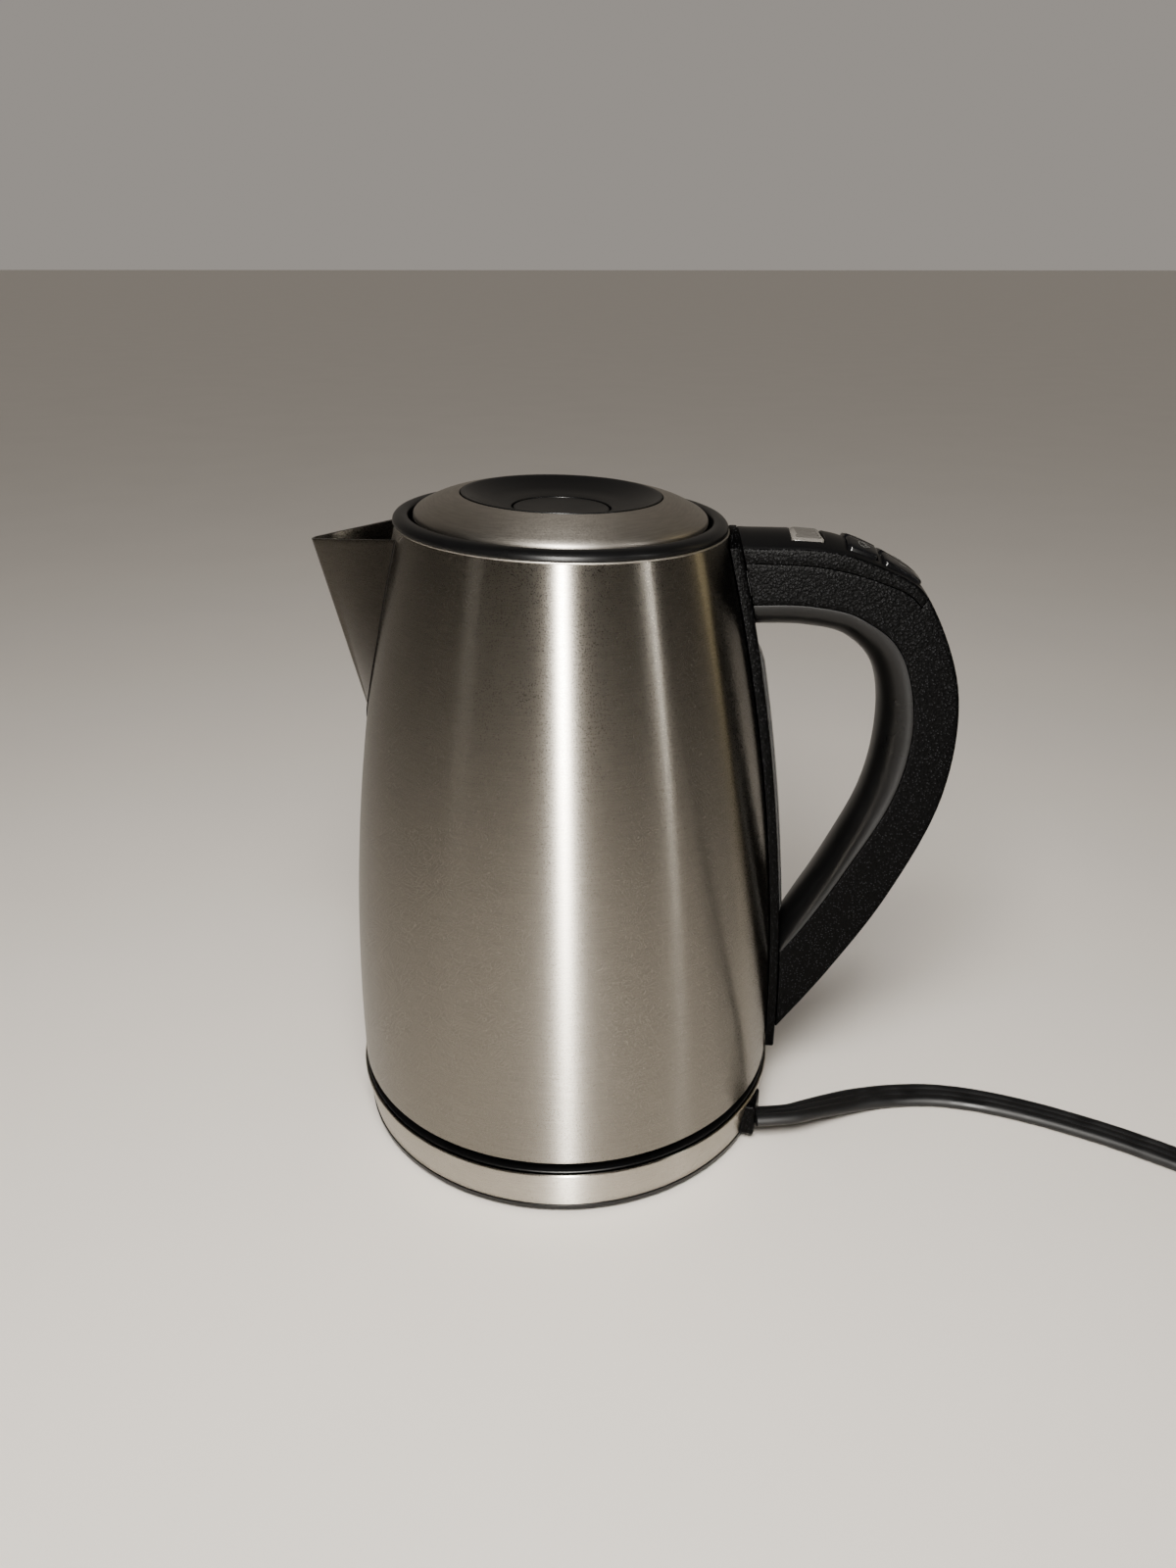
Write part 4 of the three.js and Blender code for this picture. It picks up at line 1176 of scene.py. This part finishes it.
def add_bracket():
    """The strip between jug and handle, with the slot for the gauge and two screw bosses."""
    levels = [0, 0.002] + [k / 60 for k in range(1, 59)] + [0.978, 0.99, 0.996, 1.0]
    rings = [bracket_ring(h) for h in levels]
    count = len(rings[0])
    half = count // 2
    vertices = [v for ring in rings for v in ring]
    faces = loop_faces(len(rings), count)
    for first in (0, (len(rings) - 1) * count):
        for j in range(half - 1):
            a, b = first + j, first + count - 1 - j
            faces.append((a, a + 1, b - 1, b))
    bracket = solid("bracket_strip", vertices, faces, LOOKS["textured_black"], sharp=40)
    slot_rings = []
    for k in range(21):
        z = mix(GAUGE_LOW - GAP, GAUGE_HIGH + GAP, k / 20)
        low, high, half = jug_radius(z) - 6, jug_radius(z) + 9, GAUGE_HALF + GAP
        slot_rings.append([(low, -half, z), (high, -half, z), (high, half, z), (low, half, z)])
    carve(bracket, lofted("gauge_slot", slot_rings, LOOKS["satin_black"]))
    round_edges(bracket, 0.5)
    stands_for(bracket, "jug", "textured_black", "handle_bracket")
    for k, (low, high, place, ends) in enumerate(BOSSES):
        boss = bar(f"handle_boss_{k + 1}", low, high)
        hole_rings = [[(x, y, z) for x, y in circle(1.8, 24)] for z in ends]
        carve(boss, lofted("boss_hole", hole_rings, LOOKS["satin_black"], place))
        round_edges(boss, 0.5, segments=2)
        stands_for(boss, "jug", "textured_black")


def add_gauge():
    """The water gauge: a long window that swells out of the bracket."""
    rings = []
    steps = 60
    edge_r = 2.0
    for k in range(steps + 1):
        z = mix(GAUGE_LOW, GAUGE_HIGH, k / steps)
        end = min(1.0, min(k, steps - k) / 3)
        base = jug_radius(z)
        side = base + BRACKET_DEPTH + mix(0.3, 1.8, math.sqrt(end)) - edge_r
        ring = [(base + GAP, -GAUGE_HALF, z)]
        for n in range(13):
            a = -math.pi / 2 + math.pi * n / 12
            out = edge_r * max(0, math.cos(a)) ** 0.5
            ring.append((side + out, GAUGE_HALF * math.sin(a), z))
        ring.append((base + GAP, GAUGE_HALF, z))
        rings.append(ring)
    gauge = lofted("gauge_strip", rings, LOOKS["window_smoke"], sharp=50)
    stands_for(gauge, "jug", "window_smoke", "gauge_window")


add_handle_skins()
add_keys_and_display()
add_bracket()
add_gauge()


# ---- Power base ----
BAND_R = 75.0
OUTLET_AT, OUTLET_HEADING = math.radians(-25.8), math.radians(-14)
OUTLET = Matrix.Translation(
    (BAND_R * math.cos(OUTLET_AT), BAND_R * math.sin(OUTLET_AT), 0)
) @ Matrix.Rotation(OUTLET_HEADING, 4, "Z")


def outlet_cutter(name):
    """The outlet block's room in the band and the cover, with its gap."""
    return bar(name, (-8.3, -6.1, 2.9), (5, 6.1, 16.1), OUTLET)


def add_base():
    """Steel band, black cover with its screw posts, dark lower edge and connector tower; the dark
    lower edge is partly the foot's black rim and partly painted shade of the gap under the band.
    """
    band = rounded([(75.9, 3.1), (78, 17.3), (77.6, 17.7), (77, 17.4), (75, 3.1)],
                   [0.2, 0.35, 0.3, 0.2, 0.2])
    # The base ring's lighter steel is a painted highlight.
    ring = carve(turned("base_ring", band, BASE_HIGHLIGHT_STEEL), outlet_cutter("band_cut"))
    stands_for(ring, "power_base", "brushed_steel", "base_band")
    cover = rounded([
        (12.6, 17.4), (13.4, 19.2), (15, 18.2), (20, 17.4), (62, 17.4), (71, 18.7), (76.8, 18.7),
        (77.1, 18.3), (76.8, 18), (74.4, 17.6), (73.4, 15.4), (73.4, 4), (71.8, 4), (71.8, 15.4),
        (62, 15.8), (12.6, 15.8),
    ], [0.6, 0.7, 0.8, 1.5, 4, 3, 0.2, 0.2, 0.2, 0.5, 0.8, 0.3, 0.3, 0.5, 1, 0.3])
    top = carve(turned("base_top", cover, LOOKS["satin_black"]), outlet_cutter("cover_cut"))
    stands_for(top, "power_base", "satin_black", "base_cover")
    # A black ring under the band: partly the foot's black rim, partly painted shade of the gap under
    # the band.
    edge = rounded([(74.3, 1.0), (76.1, 1.0), (76.25, 3.0), (74.3, 3.0)], [0.2, 0.5, 0.2, 0.2])
    stands_for(turned("base_edge", edge, LOOKS["satin_black"]), "power_base", "satin_black")
    for k, degrees in enumerate((40, 160, 280)):
        a = math.radians(degrees)
        place = Matrix.Translation((42 * math.cos(a), 42 * math.sin(a), 0))
        add_post(f"base_post_{k + 1}", "power_base", place, 4, 3.4, 16.2)
    tower = rounded([
        (0, 5), (15, 5), (15, 15.4), (11.6, 15.5), (11.6, 30), (10.6, 31), (8.6, 31), (8.6, 19),
        (6, 19), (6, 31), (2.2, 31), (2.2, 17), (0, 17),
    ], [0, 0.5, 0.3, 0.3, 0.6, 0.6, 0.4, 0.4, 0.4, 0.4, 0.4, 0.3, 0])
    stands_for(turned("connector_tower", tower, LOOKS["satin_black"], segments=96),
               "power_base", "satin_black", "base_connector")


def add_outlet():
    """Moulded cord outlet: a block across the band with a rounded front."""
    rings = []
    for x, shrink in ((-8, 0.0), (3.9, 0.0), (4.5, 0.25), (4.7, 0.7)):
        half_y, low, high = 5.8 - shrink, 3.2 + shrink, 15.8 - shrink
        corner = [(-half_y, low), (half_y, low), (half_y, high), (-half_y, high)]
        rings.append([(x, y, z) for y, z in rounded(corner, 0.9)])
    block = lofted("cord_outlet", rings, LOOKS["textured_black"], OUTLET, sharp=50)
    stands_for(block, "power_base", "satin_black", "cord_gland")


add_base()
add_outlet()


# ---- CAD nodes that stay as they are ----
KEPT_NODES = {
    "dark_steel": [
        "spout_filter", "element_plate", "heating_element", "temperature_sensor",
        "handle_screw_upper", "handle_screw_lower",
        *[f"{part}_screw_{k}" for part in ("base", "lid") for k in (1, 2, 3)],
    ],
    "satin_black": ["base_floor", "lid_tray"],
    "silicone_grey": ["lid_seal", "lid_catch_rear", "lid_catch_front", "base_terminal_block"],
    "board_green": ["control_board", "button_board"],
    "gloss_black": ["display_module", "jug_socket"],
    "rubber_black": [f"base_foot_{k}" for k in (1, 2, 3, 4)],
    "brass": ["plug_blade_left", "plug_blade_right", "plug_earth_pin"],
}


def dress_nodes():
    for look, names in KEPT_NODES.items():
        for name in names:
            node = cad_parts[name]
            node.data.materials.clear()
            node.data.materials.append(LOOKS[look])
            round_edges(node, 0.2, segments=2)


dress_nodes()
